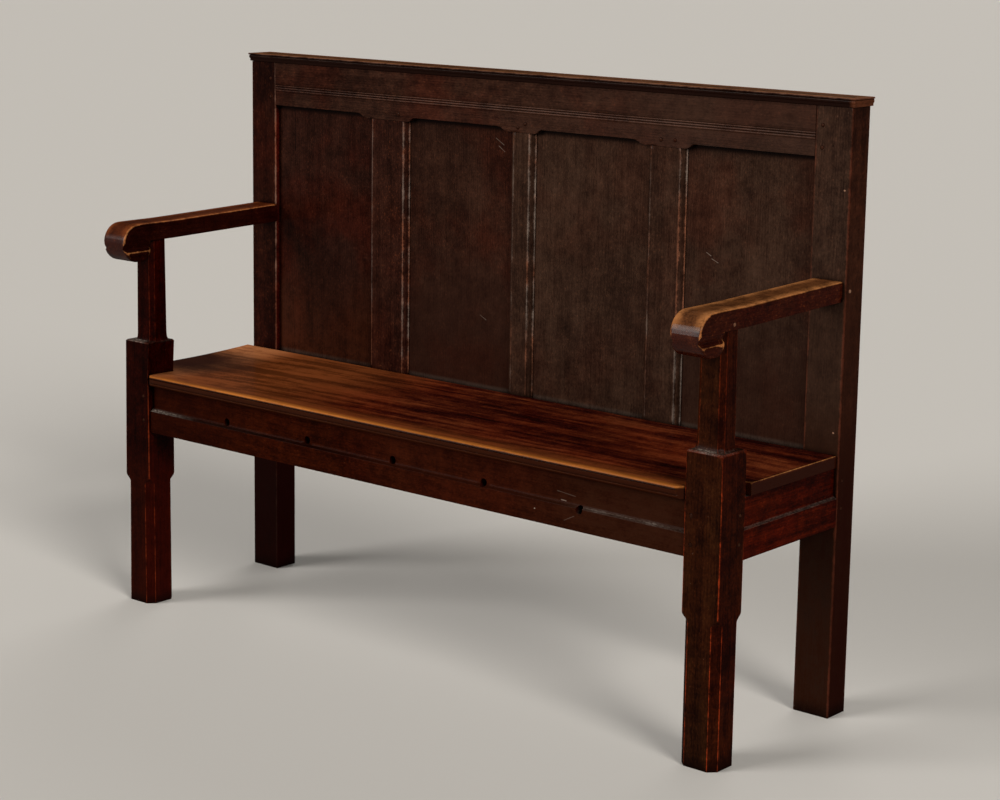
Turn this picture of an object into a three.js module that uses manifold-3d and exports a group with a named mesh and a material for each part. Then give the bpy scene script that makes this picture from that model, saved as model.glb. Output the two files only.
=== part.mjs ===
// Joined oak settle bench: two front posts that carry the arms, two tall back stiles, a back of four
// panels between moulded muntins, and one wide seat plank. Lengths are in millimetres. X runs along the
// bench, +Y from front to back and +Z up. While the pieces are made, x = 0 is midway between the stiles,
// y = 0 is the front face of the front posts and z = 0 is the floor.
import * as THREE from "three";
import { mergeVertices } from "three/addons/utils/BufferGeometryUtils.js";
import Module from "manifold-3d";

const wasm = await Module();
wasm.setup();

// Overall sizes
const frameWidth = 1430; // across the outer faces of the back stiles
const overallHeight = 1079.5; // floor to the top of the cap
const seatHeight = 470.5; // floor to the top of the seat plank
const backFrameSetback = 352; // front of the posts to the front of the back frame

// Fit and finish shared by all joints
const fit = 0.3; // clearance round every tenon, tongue, peg and shoulder
const overrun = 5; // how far a cutter runs past the face that it opens
const arris = 1.2; // small chamfer worn on the long edges
const tenonThickness = 10;
const tenonLength = 36;
const mortiseWall = 4; // wood left between the ends of two mortises that meet at a corner
const mergeDistance = 0.001; // vertices closer than this are one vertex

// Back stiles, which are also the rear legs
const stileWidthLeft = 68;
const stileWidthRight = 72;
const stileDepth = 55;

// Cap plank
const capThickness = 16;
const capOverhangFront = 5;
const capOverhangEnd = 6;
const capOverhangBack = 3.6;
const capFillet = 3.6; // flat band along the upper edge of the moulding
const capQuirk = 1.4; // depth of the two small steps in the moulding
const capBeadRadius = 3.6; // half-round between the two steps
const capStubHeight = 8; // stub tenons of the stiles in the cap
const capStubMargin = 14; // from the sides of the stile to its stub tenon

// Top rail of the back
const topRailDepth = 86; // underside of the cap to the flat of the lower edge, above each panel
const topRailDrop = 8.5; // how far the lower edge drops at each muntin
const archRunBefore = 36; // length of the curve on the left of a muntin
const archRunAfter = 20; // length of the curve on the right of a muntin
const archTangentShare = 0.55; // how far the curve's handles reach along its length
const railThickness = 30; // top rail, bottom rail and seat rails
const reedCount = 3;
const reedPitch = 4.6;
const reedDepth = 1.7;
const reedBandDepth = 58.5; // underside of the cap to the foot of the lowest reed
const reedSteps = 4; // chords in each reed

// Bottom rail of the back, whose top lies just under the seat surface
const bottomRailTopDrop = 4;
const bottomRailHeight = 114.5;

// Muntins, from left to right
const muntinPlaceShares = [-0.235, 0.0018, 0.2333]; // middle of each face, as shares of the frame's width
const leftMuntinFace = 83; // width of a face between its mouldings
const middleMuntinFace = 38.5;
const rightMuntinFace = 65;
const mouldingWidth = 9.5; // moulding worked on both edges of each muntin
const mouldingStep = 1.8; // small step where the moulding leaves the face
const mouldingFillet = 1.6; // flat at the foot of the moulding
const mouldingSteps = 5; // chords in the quarter-round
const muntinTenonLength = 24;
const muntinTenonMargin = 5; // tenon set in from the groove bottoms

// Panels and the groove that holds them
const panelRecess = 11; // front of the frame to the front of the panels
const tongueThickness = 8; // panel where it sits in the groove
const panelThickness = 13; // panel in the middle of its back
const grooveDepth = 9;
const panelPlay = 1.2; // room for the panel to move in the bottom of the groove
const featherWidth = 38; // bevel on the back of the panel

// Front posts
const postWidth = 72.5;
const postDepth = 67.5;
const postProud = 3.5; // posts stand out past the stiles by this much
const leftPostTaper = 7.5; // outer face of the left post leans in by this much from its foot to its block
const leftBlockLean = 4; // inner face of the left block leans towards the seat by this much above it
const leftSupportShift = 4.5; // left arm support nearer to the seat by this much
const blockRise = 62; // top of the seat to the top of the square block
const blockTopChamfer = 2.6;
const legChamfer = 13; // broad chamfer on all corners of the lower leg
const chamferStopDrop = 91; // lower edge of the front rail to the upper end of the chamfer stops
const chamferStopLength = 16;
const chamferStopSteps = 5;
const supportSetback = 11.3; // arm support set in from the faces of the block
const supportSetbackInner = 7; // the same on the side towards the seat
const supportChamfer = 8;
const supportTaper = 1.2; // how much each face of the support leans in by its top
const supportFlare = 3.6; // spread of the support where it grows out of the block
const supportFlareHeight = 13;
const supportFlareSteps = 3;
const supportTenonWidth = 26; // along the arm
const supportTenonHeight = 24;

// Seat rails
const railFaceSetback = 4.7; // front rail behind the front face of the posts
const sideRailSetback = 3.4; // side rails behind the outer faces of the posts
const frontRailDepth = 118.5; // top of the seat to the lower edge of the front rail
const sideRailDepth = 125.5; // top of the seat to the lower edges of the side rails
const railStepDepth = 74; // top of the seat to the step between the two bands of the rails
const frontStepFall = 4; // the front rail's step is lower by this much at its right end
const railBandRecess = 7; // upper band behind the lower band
const railCoveHeight = 8; // hollow that leads from the lower band to the upper band
const railNosing = 2.4; // rounded edge at the top of the lower band
const railCoveSteps = 4;
const railTenonBottomMargin = 10; // rail edge to tenon edge
const railTenonTopMargin = 12;
const ropeHoleCount = 5; // holes for the cords of an earlier corded seat
const ropeHoleDiameter = 15;
const ropeHoleRise = 8.5; // centre of the first hole above the step
const ropeHoleFall = 15; // the row falls by this much, mostly towards its right end
const ropeHoleFallPower = 3;
const ropeRowShift = 4; // middle of the row to the left of x = 0
const ropeHoleSides = 18;
const ledgerWidth = 24; // batten under the back edge of the seat
const ledgerHeight = 28;

// Seat plank
const seatThickness = 22;
const seatNosing = 9; // front edge ahead of the front face of the posts
const seatProudLeft = 17; // left end past the outer face of the left stile
const seatShortRight = 4; // right end inside the outer face of the right stile
const seatNotchGapLeft = 1.5; // cut-out behind the left post
const seatNotchGapRight = 27; // cut-out behind the right post
const seatEdgeRadius = 3.6; // rounded upper edge
const seatEdgeSteps = 4;
// Moulding below the rounded edge, in from the front and down from the top, in seat thicknesses
const seatEdgeShares = [
  [0, 0.2],
  [0.11, 0.23],
  [0.11, 0.3],
  [0.02, 0.33],
  [0.03, 0.48],
  [0.08, 0.66],
  [0.14, 0.68],
  [0.14, 0.73],
  [0.07, 0.76],
  [0.07, 0.86],
  [0.23, 1],
];
const seatNosingReturn = 13; // front corners cut back beside the posts

// Arms
const armHeightLeft = 298.5; // top of the seat to the top of each arm at the front
const armHeightRight = 294.5;
const armRise = 6; // the arms are higher by this much where they meet the stiles
const armThickness = 35;
const armWidth = 60;
const armSetback = 9.5; // outer face of the arm inside the outer face of the post
const armReach = 60; // nose of the arm ahead of the front face of the posts
const noseRadius = 37; // half-round nose, taller than the arm
const lobeClearance = 2.3; // back of the scroll to the front of the arm support
const lobeHeelRadius = 20; // rounded back of the scroll
const lobeNotchHeight = 19; // carved notch on both sides, between the arm and the foot of the scroll
const lobeNotchDepth = 6;
const lobeNotchShare = 0.66; // the notch is deepest at this share of its height, from the top
const lobeEdge = 2.5; // small bevel along both edges of the scroll
const scrollRoot = 4; // part of the scroll that lies inside the arm
const noseSteps = 14;
const heelSteps = 6;
const armTenonHeight = 20;
const armEdgeRounding = 3; // worn upper edges of the arm
const armEdgeSteps = 3;

// Pegs
const pegDiameter = 7;
const pegSides = 10;
const pegHeadChamfer = 0.8;
const pegProud = 0.5; // pegs stand out of the wood by this much
const pegFromShoulder = 14; // peg centre to the shoulder of the joint
const blindPegLength = 46; // pegs of the front posts and the arms
const topRailPegShares = [0.68, 0.1]; // heights along the tenons
const seatRailPegShares = [0.84, 0.19];
const armFrontPegShare = 0.36; // height along the tenon of the arm support
const muntinPegShares = [
  { muntin: 0, across: 0.76, up: 0.31 }, // across half of the tenon, and up its length
  { muntin: 1, across: 0.54, up: 0.41 },
  { muntin: 1, across: -0.61, up: 0.22 },
  { muntin: 2, across: -0.39, up: 0.29 },
  { muntin: 2, across: 0.7, up: 0.31 },
];
const muntinFootPegDepth = 14; // below the bottom of the groove in the bottom rail

// Planes worked out from the sizes above
const stileOuter = frameWidth / 2;
const stileBack = backFrameSetback + stileDepth;
const railBack = backFrameSetback + railThickness;
const postOuter = stileOuter + postProud; // outer face of the posts at the floor
const postInner = postOuter - postWidth;
const capBottom = overallHeight - capThickness;
const topRailCrown = capBottom - topRailDepth;
const reedBandFoot = capBottom - reedBandDepth;
const topRailLow = topRailCrown - topRailDrop;
const bottomRailTop = seatHeight - bottomRailTopDrop;
const bottomRailBottom = bottomRailTop - bottomRailHeight;
const grooveFloor = bottomRailTop - grooveDepth;
const muntinTenonTop = topRailCrown + grooveDepth + muntinTenonLength;
const seatBottom = seatHeight - seatThickness;
const seatRailTop = seatBottom - fit;
const frontRailBottom = seatHeight - frontRailDepth;
const sideRailBottom = seatHeight - sideRailDepth;
const railStepHeight = seatHeight - railStepDepth;
const blockTop = seatHeight + blockRise;
const chamferStopTop = frontRailBottom - chamferStopDrop;
const lobeBack = supportSetback - lobeClearance;
const panelFront = backFrameSetback + panelRecess;
const tongueBack = panelFront + tongueThickness;
const grooveFront = panelFront - fit;
const grooveBack = tongueBack + fit;
const armBack = backFrameSetback - fit;
const supportMiddleY = postDepth / 2;
const tenonMiddleY = railFaceSetback + railThickness / 2;
const backTenonMiddle = (panelFront + tongueBack) / 2;

// Places on one side of the bench, measured outwards from x = 0
function placesOf(side, sign, own) {
  const blockOuter = postOuter - own.postTaper;
  const supportInner = postInner - own.blockLean + supportSetbackInner - own.supportShift;
  const supportOuter = blockOuter - supportSetback - own.supportShift;
  const armOuter = blockOuter - armSetback;
  const sideRailFace = blockOuter - sideRailSetback;
  const sideTenonMiddle = sideRailFace - railThickness / 2;
  const armTop = seatHeight + own.armHeight;
  return {
    side,
    sign,
    blockOuter,
    supportInner,
    supportOuter,
    armOuter,
    sideRailFace,
    blockLean: own.blockLean,
    seatNotchGap: own.seatNotchGap,
    stileInner: stileOuter - own.stileWidth,
    armTop,
    armBottom: armTop - armThickness,
    armBackMiddle: armTop + armRise - armThickness / 2,
    noseMiddle: armTop - noseRadius,
    supportMiddle: (supportInner + supportOuter) / 2,
    armInner: armOuter - armWidth,
    armMiddle: armOuter - armWidth / 2,
    sideTenonMiddle,
    railTenonEnd: sideTenonMiddle - tenonThickness / 2 - mortiseWall,
  };
}

const left = placesOf("left", -1, {
  stileWidth: stileWidthLeft,
  postTaper: leftPostTaper,
  blockLean: leftBlockLean,
  supportShift: leftSupportShift,
  seatNotchGap: seatNotchGapLeft,
  armHeight: armHeightLeft,
});
const right = placesOf("right", 1, {
  stileWidth: stileWidthRight,
  postTaper: 0,
  blockLean: 0,
  supportShift: 0,
  seatNotchGap: seatNotchGapRight,
  armHeight: armHeightRight,
});
const sides = [left, right];

const muntinFaces = [leftMuntinFace, middleMuntinFace, rightMuntinFace];
const muntins = muntinFaces.map((face, index) => ({
  face,
  middle: frameWidth * muntinPlaceShares[index],
  half: face / 2 + mouldingWidth,
  tenonHalf: face / 2 + mouldingWidth - grooveDepth - muntinTenonMargin,
}));

// Solids made of closed meshes

function solidOf(geometry) {
  const bare = geometry.index ? geometry.toNonIndexed() : geometry.clone();
  bare.deleteAttribute("normal");
  bare.deleteAttribute("uv");
  const merged = mergeVertices(bare, mergeDistance);
  const mesh = new wasm.Mesh({
    numProp: 3,
    vertProperties: merged.attributes.position.array,
    triVerts: new Uint32Array(merged.index.array),
  });
  return new wasm.Manifold(mesh);
}

function geometryOf(solid) {
  const mesh = solid.getMesh();
  const geometry = new THREE.BufferGeometry();
  geometry.setAttribute("position", new THREE.BufferAttribute(mesh.vertProperties, mesh.numProp));
  geometry.setIndex(new THREE.BufferAttribute(mesh.triVerts, 1));
  geometry.computeVertexNormals();
  return geometry;
}

function block(x0, x1, y0, y1, z0, z1) {
  const geometry = new THREE.BoxGeometry(Math.abs(x1 - x0), Math.abs(y1 - y0), Math.abs(z1 - z0));
  geometry.translate((x0 + x1) / 2, (y0 + y1) / 2, (z0 + z1) / 2);
  return solidOf(geometry);
}

function outline(points) {
  return new THREE.Shape(points.map(([across, up]) => new THREE.Vector2(across, up)));
}

const axisX = new THREE.Vector3(1, 0, 0);
const axisY = new THREE.Vector3(0, 1, 0);
const axisZ = new THREE.Vector3(0, 0, 1);

function extrusion(shape, length) {
  return new THREE.ExtrudeGeometry(shape, { depth: length, bevelEnabled: false });
}

// A section drawn in (y, z), run along X
function alongX(shape, x0, x1) {
  const geometry = extrusion(shape, Math.abs(x1 - x0));
  geometry.applyMatrix4(new THREE.Matrix4().makeBasis(axisY, axisZ, axisX));
  geometry.translate(Math.min(x0, x1), 0, 0);
  return solidOf(geometry);
}

// A section drawn in (x, z), run along Y
function alongY(shape, y0, y1) {
  const geometry = extrusion(shape, y1 - y0);
  geometry.applyMatrix4(new THREE.Matrix4().makeBasis(axisX, axisZ, axisY.clone().negate()));
  geometry.translate(0, y1, 0);
  return solidOf(geometry);
}

// A section drawn in (x, y), run up Z
function alongZ(shape, z0, z1) {
  const geometry = extrusion(shape, z1 - z0);
  geometry.translate(0, 0, z0);
  return solidOf(geometry);
}

// Points of an arc about (across, up), both ends included
function arc(across, up, radius, fromAngle, toAngle, steps) {
  const points = [];
  for (let step = 0; step <= steps; step += 1) {
    const angle = fromAngle + ((toAngle - fromAngle) * step) / steps;
    points.push([across + radius * Math.cos(angle), up + radius * Math.sin(angle)]);
  }
  return points;
}

// A rectangle in (x, y) with its four corners cut off, as eight points that go round it
function chamferedRectangle(x0, x1, y0, y1, cut) {
  return [
    [x0 + cut, y0],
    [x1 - cut, y0],
    [x1, y0 + cut],
    [x1, y1 - cut],
    [x1 - cut, y1],
    [x0 + cut, y1],
    [x0, y1 - cut],
    [x0, y0 + cut],
  ];
}

// A closed surface through rings of points, each ring in its own plane, with as many points as the first
function loft(rings) {
  const count = rings[0].points.length;
  const positions = [];
  const push = (ring, index) => {
    const [x, y] = rings[ring].points[index % count];
    positions.push(x, y, rings[ring].at);
  };
  for (let ring = 0; ring + 1 < rings.length; ring += 1) {
    for (let index = 0; index < count; index += 1) {
      push(ring, index);
      push(ring, index + 1);
      push(ring + 1, index + 1);
      push(ring, index);
      push(ring + 1, index + 1);
      push(ring + 1, index);
    }
  }
  for (let index = 1; index + 1 < count; index += 1) {
    push(0, 0);
    push(0, index + 1);
    push(0, index);
    push(rings.length - 1, 0);
    push(rings.length - 1, index);
    push(rings.length - 1, index + 1);
  }
  const geometry = new THREE.BufferGeometry();
  geometry.setAttribute("position", new THREE.Float32BufferAttribute(positions, 3));
  return geometry;
}

// Rings drawn in (x, y), one above the other
function loftUp(rings) {
  return solidOf(loft(rings));
}

// Rings drawn in (y, z), side by side along X
function loftAcross(rings) {
  return solidOf(loft(rings).applyMatrix4(new THREE.Matrix4().makeBasis(axisY, axisZ, axisX)));
}

// Rings drawn in (z, x), one behind the other along Y
function loftBack(rings) {
  return solidOf(loft(rings).applyMatrix4(new THREE.Matrix4().makeBasis(axisZ, axisX, axisY)));
}

// Back stiles

function stile(place) {
  const { sign } = place;
  const inner = sign * place.stileInner;
  const outer = sign * stileOuter;
  const x0 = Math.min(inner, outer);
  const x1 = Math.max(inner, outer);
  const section = outline(chamferedRectangle(x0, x1, backFrameSetback, stileBack, arris));
  const groove = block(
    inner - sign * overrun,
    inner + sign * grooveDepth,
    grooveFront,
    grooveBack,
    grooveFloor,
    topRailCrown + grooveDepth,
  );
  return alongZ(section, 0, capBottom - fit)
    .add(stileStub(place, 0))
    .subtract(groove)
    .subtract(railTenon(place, topRailSpan, fit))
    .subtract(railTenon(place, bottomRailSpan, fit))
    .subtract(sideRailTenon(place, sideRailBack, fit))
    .subtract(armTenon(place, fit));
}

// Tenons, each drawn once and also cut, with the clearance round it, as its mortise

const topRailSpan = {
  bottom: topRailCrown + grooveDepth + fit,
  top: capBottom - railTenonTopMargin,
};
const bottomRailSpan = {
  bottom: bottomRailBottom + railTenonBottomMargin,
  top: grooveFloor - railTenonTopMargin,
};
const seatRailSpan = {
  bottom: frontRailBottom + railTenonBottomMargin,
  top: seatRailTop - railTenonTopMargin,
};

// Stub tenon of a stile in the cap
function stileStub(place, gap) {
  return block(
    place.sign * (place.stileInner + capStubMargin - gap),
    place.sign * (stileOuter - capStubMargin + gap),
    backFrameSetback + capStubMargin - gap,
    stileBack - capStubMargin + gap,
    capBottom - overrun,
    capBottom + capStubHeight + gap,
  );
}

// Tenon of a back rail in a stile
function railTenon(place, span, gap) {
  return block(
    place.sign * (place.stileInner - overrun),
    place.sign * (place.railTenonEnd + gap),
    backTenonMiddle - tenonThickness / 2 - gap,
    backTenonMiddle + tenonThickness / 2 + gap,
    span.bottom - gap,
    span.top + gap,
  );
}

// Tenon of the front rail in a post
function frontRailTenon(place, gap) {
  return block(
    place.sign * (postInner - overrun),
    place.sign * (place.railTenonEnd + gap),
    tenonMiddleY - tenonThickness / 2 - gap,
    tenonMiddleY + tenonThickness / 2 + gap,
    seatRailSpan.bottom - gap,
    seatRailSpan.top + gap,
  );
}

// Tenon of a side rail: at its front end in the post, or at its back end in the stile
const sideRailFront = { shoulder: postDepth, direction: -1 };
const sideRailBack = { shoulder: backFrameSetback, direction: 1 };

function sideRailTenon(place, end, gap) {
  return block(
    place.sign * (place.sideTenonMiddle - tenonThickness / 2 - gap),
    place.sign * (place.sideTenonMiddle + tenonThickness / 2 + gap),
    end.shoulder - end.direction * overrun,
    end.shoulder + end.direction * (tenonLength + gap),
    seatRailSpan.bottom - gap,
    seatRailSpan.top + gap,
  );
}

// Tenon of an arm in a stile
function armTenon(place, gap) {
  return block(
    place.sign * (place.armMiddle - tenonThickness / 2 - gap),
    place.sign * (place.armMiddle + tenonThickness / 2 + gap),
    backFrameSetback - overrun,
    backFrameSetback + tenonLength + gap,
    place.armBackMiddle - armTenonHeight / 2 - gap,
    place.armBackMiddle + armTenonHeight / 2 + gap,
  );
}

// Tenon of an arm support in its arm
function supportTenon(place, gap) {
  return block(
    place.sign * (place.supportMiddle - tenonThickness / 2 - gap),
    place.sign * (place.supportMiddle + tenonThickness / 2 + gap),
    supportMiddleY - supportTenonWidth / 2 - gap,
    supportMiddleY + supportTenonWidth / 2 + gap,
    place.armBottom - overrun,
    place.armBottom + supportTenonHeight + gap,
  );
}

// Tenon of a muntin in the top rail or in the bottom rail
function muntinTenon(muntin, z0, z1, gap) {
  return block(
    muntin.middle - muntin.tenonHalf - gap,
    muntin.middle + muntin.tenonHalf + gap,
    panelFront - gap,
    tongueBack + gap,
    z0 - gap,
    z1 + gap,
  );
}

function muntinTopTenon(muntin, gap) {
  return muntinTenon(muntin, topRailLow - overrun, muntinTenonTop, gap);
}

function muntinFootTenon(muntin, gap) {
  return muntinTenon(muntin, grooveFloor - muntinTenonLength, bottomRailTop + overrun, gap);
}

// Back frame

// Front face of the top rail from its lower edge up, with the sunk reeds
function reededFace() {
  const points = [[backFrameSetback, topRailLow]];
  for (let reed = 0; reed < reedCount; reed += 1) {
    const middle = reedBandFoot + reedPitch * (reed + 1 / 2);
    for (let step = 0; step <= reedSteps; step += 1) {
      const angle = (Math.PI * step) / reedSteps;
      const y = backFrameSetback + reedDepth * (1 - Math.sin(angle));
      points.push([y, middle - (reedPitch / 2) * Math.cos(angle)]);
    }
  }
  points.push([backFrameSetback, reedBandFoot + reedPitch * reedCount]);
  return points.filter(([y, z], index) => {
    const before = points[index - 1];
    return !before || z > before[1] || y < before[0];
  });
}

// Space cut from the lower edge of the top rail above one panel. An end beside a muntin has the curve.
function archCut(opening) {
  const under = topRailLow - overrun;
  const arch = new THREE.Shape();
  arch.moveTo(opening.from, under);
  arch.lineTo(opening.to, under);
  if (opening.toMuntin) {
    const run = archRunBefore;
    const start = opening.to;
    arch.lineTo(start, topRailLow);
    arch.bezierCurveTo(
      start - run * archTangentShare,
      topRailLow,
      start - run + run * archTangentShare,
      topRailCrown,
      start - run,
      topRailCrown,
    );
  } else {
    arch.lineTo(opening.to, topRailCrown);
  }
  if (opening.fromMuntin) {
    const run = archRunAfter;
    const end = opening.from;
    arch.lineTo(end + run, topRailCrown);
    arch.bezierCurveTo(
      end + run - run * archTangentShare,
      topRailCrown,
      end + run * archTangentShare,
      topRailLow,
      end,
      topRailLow,
    );
  } else {
    arch.lineTo(opening.from, topRailCrown);
  }
  return alongY(arch, backFrameSetback - overrun, railBack + overrun);
}

// The four openings of the back, from left to right, between the edges of the pieces beside them
const openings = [...muntins, null].map((muntin, index) => {
  const before = muntins[index - 1];
  return {
    from: before ? before.middle + before.half : -left.stileInner,
    to: muntin ? muntin.middle - muntin.half : right.stileInner,
    fromMuntin: Boolean(before),
    toMuntin: Boolean(muntin),
  };
});

function topRail() {
  const section = outline([
    ...reededFace(),
    [backFrameSetback, capBottom - fit],
    [railBack, capBottom - fit],
    [railBack, topRailLow],
  ]);
  let rail = alongX(section, -left.stileInner + fit, right.stileInner - fit);
  for (const place of sides) {
    rail = rail.add(railTenon(place, topRailSpan, 0));
  }
  for (const opening of openings) {
    rail = rail.subtract(archCut(opening));
  }
  const groove = block(
    -stileOuter,
    stileOuter,
    grooveFront,
    grooveBack,
    topRailLow - overrun,
    topRailCrown + grooveDepth,
  );
  rail = rail.subtract(groove);
  for (const muntin of muntins) {
    rail = rail.subtract(muntinTopTenon(muntin, fit));
  }
  return rail;
}

function bottomRail() {
  let rail = block(
    -left.stileInner + fit,
    right.stileInner - fit,
    backFrameSetback,
    railBack,
    bottomRailBottom,
    bottomRailTop,
  );
  for (const place of sides) {
    rail = rail.add(railTenon(place, bottomRailSpan, 0));
  }
  const groove = block(
    -stileOuter,
    stileOuter,
    grooveFront,
    grooveBack,
    grooveFloor,
    bottomRailTop + overrun,
  );
  rail = rail.subtract(groove);
  for (const muntin of muntins) {
    rail = rail.subtract(muntinFootTenon(muntin, fit));
  }
  return rail;
}

// Half of a muntin's section, from the middle of its face to the middle of its back
function muntinHalfSection(muntin, sign) {
  const edge = muntin.half;
  const faceEdge = muntin.face / 2;
  const roundWidth = mouldingWidth - mouldingFillet;
  const roundDepth = panelRecess - mouldingStep - mouldingFillet;
  const points = [[faceEdge, backFrameSetback]];
  for (let step = 0; step <= mouldingSteps; step += 1) {
    const angle = (Math.PI / 2) * (step / mouldingSteps);
    points.push([
      faceEdge + roundWidth * Math.sin(angle),
      backFrameSetback + mouldingStep + roundDepth * (1 - Math.cos(angle)),
    ]);
  }
  points.push([edge, panelFront - mouldingFillet]);
  points.push([edge, grooveFront]);
  points.push([edge - grooveDepth, grooveFront]);
  points.push([edge - grooveDepth, grooveBack]);
  points.push([edge, grooveBack]);
  points.push([edge, railBack]);
  return points.map(([across, y]) => [muntin.middle + sign * across, y]);
}

function muntinSolid(muntin) {
  const rightHalf = muntinHalfSection(muntin, 1);
  const leftHalf = muntinHalfSection(muntin, -1).reverse();
  return alongZ(outline([...rightHalf, ...leftHalf]), bottomRailTop + fit, topRailLow - fit)
    .add(muntinTopTenon(muntin, 0))
    .add(muntinFootTenon(muntin, 0));
}

// A panel: flat in front, with a feathered edge all round its back
function panel(opening) {
  const reach = grooveDepth - panelPlay;
  const x0 = opening.from - reach;
  const x1 = opening.to + reach;
  const z0 = bottomRailTop - reach;
  const z1 = topRailCrown + reach;
  const rectangle = (inset, topInset) => [
    [z0 + inset, x0 + inset],
    [z1 - topInset, x0 + inset],
    [z1 - topInset, x1 - inset],
    [z0 + inset, x1 - inset],
  ];
  const feather = grooveDepth + featherWidth;
  return loftBack([
    { at: panelFront, points: rectangle(0, 0) },
    { at: tongueBack, points: rectangle(0, 0) },
    { at: tongueBack, points: rectangle(grooveDepth, grooveDepth + topRailDrop) },
    { at: panelFront + panelThickness, points: rectangle(feather, feather + topRailDrop) },
  ]);
}

function capPlank() {
  const profile = (edge, direction) => {
    const bead = overallHeight - capFillet - capBeadRadius;
    const at = (depth) => edge + direction * depth;
    return [
      [at(0), overallHeight],
      [at(0), overallHeight - capFillet],
      [at(capQuirk), overallHeight - capFillet],
      ...arc(0, bead, capBeadRadius, Math.PI / 2, -Math.PI / 2, mouldingSteps).map(([out, z]) => [
        at(capQuirk * 2 - out * (capQuirk / capBeadRadius)),
        z,
      ]),
      [at(capQuirk * 2), capBottom],
    ];
  };
  const front = backFrameSetback - capOverhangFront;
  const back = stileBack + capOverhangBack;
  const end = stileOuter + capOverhangEnd;
  const crossSection = outline([...profile(front, 1), [back, capBottom], [back, overallHeight]]);
  const endSection = outline([...profile(-end, 1), ...profile(end, -1).reverse()]);
  let cap = alongX(crossSection, -end, end).intersect(alongY(endSection, front, back));
  for (const place of sides) {
    cap = cap.subtract(stileStub(place, fit));
  }
  return cap;
}

// Front posts

// Rings of a front post. The inner and the outer face can be set in by their own amounts.
function postRing(place, at, insets, cut) {
  const points = chamferedRectangle(
    postInner + insets.inner,
    postOuter - insets.outer,
    insets.front,
    postDepth - insets.front,
    cut,
  );
  return { at, points: place.sign > 0 ? points : points.map(([x, y]) => [-x, y]).reverse() };
}

// The square leg with its chamfered foot: the chamfers run out in curved stops below the seat rails
function legRings(place) {
  const taper = postOuter - place.blockOuter;
  const blockEdge = blockTop - blockTopChamfer;
  const lean = (z) => place.blockLean * Math.max(0, (z - seatHeight - fit) / (blockTop - seatHeight - fit));
  const insetsAt = (z, inset = 0) => ({
    inner: inset - lean(z),
    outer: inset + (taper * z) / blockTop,
    front: inset,
  });
  const rings = [postRing(place, 0, insetsAt(0), legChamfer)];
  for (let step = 0; step <= chamferStopSteps; step += 1) {
    const along = step / chamferStopSteps;
    const z = chamferStopTop - chamferStopLength * (1 - along);
    const cut = arris + ((legChamfer - arris) * (1 + Math.cos(Math.PI * along))) / 2;
    rings.push(postRing(place, z, insetsAt(z), cut));
  }
  rings.push(postRing(place, seatHeight + fit, insetsAt(seatHeight + fit), arris));
  rings.push(postRing(place, blockEdge, insetsAt(blockEdge), arris));
  rings.push(postRing(place, blockTop, insetsAt(blockTop, blockTopChamfer), arris));
  return rings;
}

// The arm support: chamfered corners, a small flare at its foot and a slight taper
function supportRings(place) {
  const insetsOf = (change) => ({
    inner: place.supportInner - postInner + change,
    outer: postOuter - place.supportOuter + change,
    front: supportSetback + change,
  });
  const rings = [];
  for (let step = 0; step <= supportFlareSteps; step += 1) {
    const angle = (Math.PI / 2) * (step / supportFlareSteps);
    const z = blockTop + supportFlareHeight * (1 - Math.cos(angle));
    rings.push(postRing(place, z, insetsOf(supportFlare * (Math.sin(angle) - 1)), supportChamfer));
  }
  rings.push(postRing(place, place.armBottom - fit, insetsOf(supportTaper), supportChamfer));
  return rings;
}

function frontPost(place) {
  return loftUp([...legRings(place), ...supportRings(place)])
    .add(supportTenon(place, 0))
    .subtract(frontRailTenon(place, fit))
    .subtract(sideRailTenon(place, sideRailFront, fit));
}

// Seat rails

// Section of a seat rail: plain lower band, rounded step, hollow and set-back upper band. The face is
// at depth 0 and depth grows into the rail.
function railSection(bottom, stepHeight) {
  const coveTop = stepHeight + railCoveHeight;
  const hollow = railBandRecess - railNosing;
  const points = [
    [railThickness, bottom],
    [0, bottom],
    ...arc(railNosing, stepHeight - railNosing, railNosing, Math.PI, Math.PI / 2, railCoveSteps),
  ];
  for (let step = 1; step <= railCoveSteps; step += 1) {
    const angle = (Math.PI / 2) * (step / railCoveSteps);
    points.push([railNosing + hollow * Math.sin(angle), coveTop - railCoveHeight * Math.cos(angle)]);
  }
  points.push([railBandRecess, seatRailTop]);
  points.push([railThickness, seatRailTop]);
  return points;
}

// The front rail, whose step runs a little downhill to the right
function frontRail() {
  const end = postInner - fit;
  const ring = (at, stepHeight) => ({
    at,
    points: railSection(frontRailBottom, stepHeight).map(([depth, z]) => [railFaceSetback + depth, z]),
  });
  let rail = loftAcross([ring(end, railStepHeight - frontStepFall), ring(-end, railStepHeight)]);
  for (const place of sides) {
    rail = rail.add(frontRailTenon(place, 0));
  }
  for (let hole = 0; hole < ropeHoleCount; hole += 1) {
    const along = hole / (ropeHoleCount - 1);
    const x = postInner * ((2 * (hole + 1)) / (ropeHoleCount + 1) - 1) - ropeRowShift;
    const z = railStepHeight + ropeHoleRise - ropeHoleFall * along ** ropeHoleFallPower;
    rail = rail.subtract(ropeHole(x, z));
  }
  return rail;
}

function ropeHole(x, z) {
  const radius = ropeHoleDiameter / 2;
  const length = railThickness + 2 * overrun;
  const geometry = new THREE.CylinderGeometry(radius, radius, length, ropeHoleSides);
  geometry.translate(x, tenonMiddleY, z);
  return solidOf(geometry);
}

function sideRail(place) {
  const points = railSection(sideRailBottom, railStepHeight);
  const section = outline(points.map(([depth, z]) => [place.sign * (place.sideRailFace - depth), z]));
  return alongY(section, postDepth + fit, backFrameSetback - fit)
    .add(sideRailTenon(place, sideRailFront, 0))
    .add(sideRailTenon(place, sideRailBack, 0));
}

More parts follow.
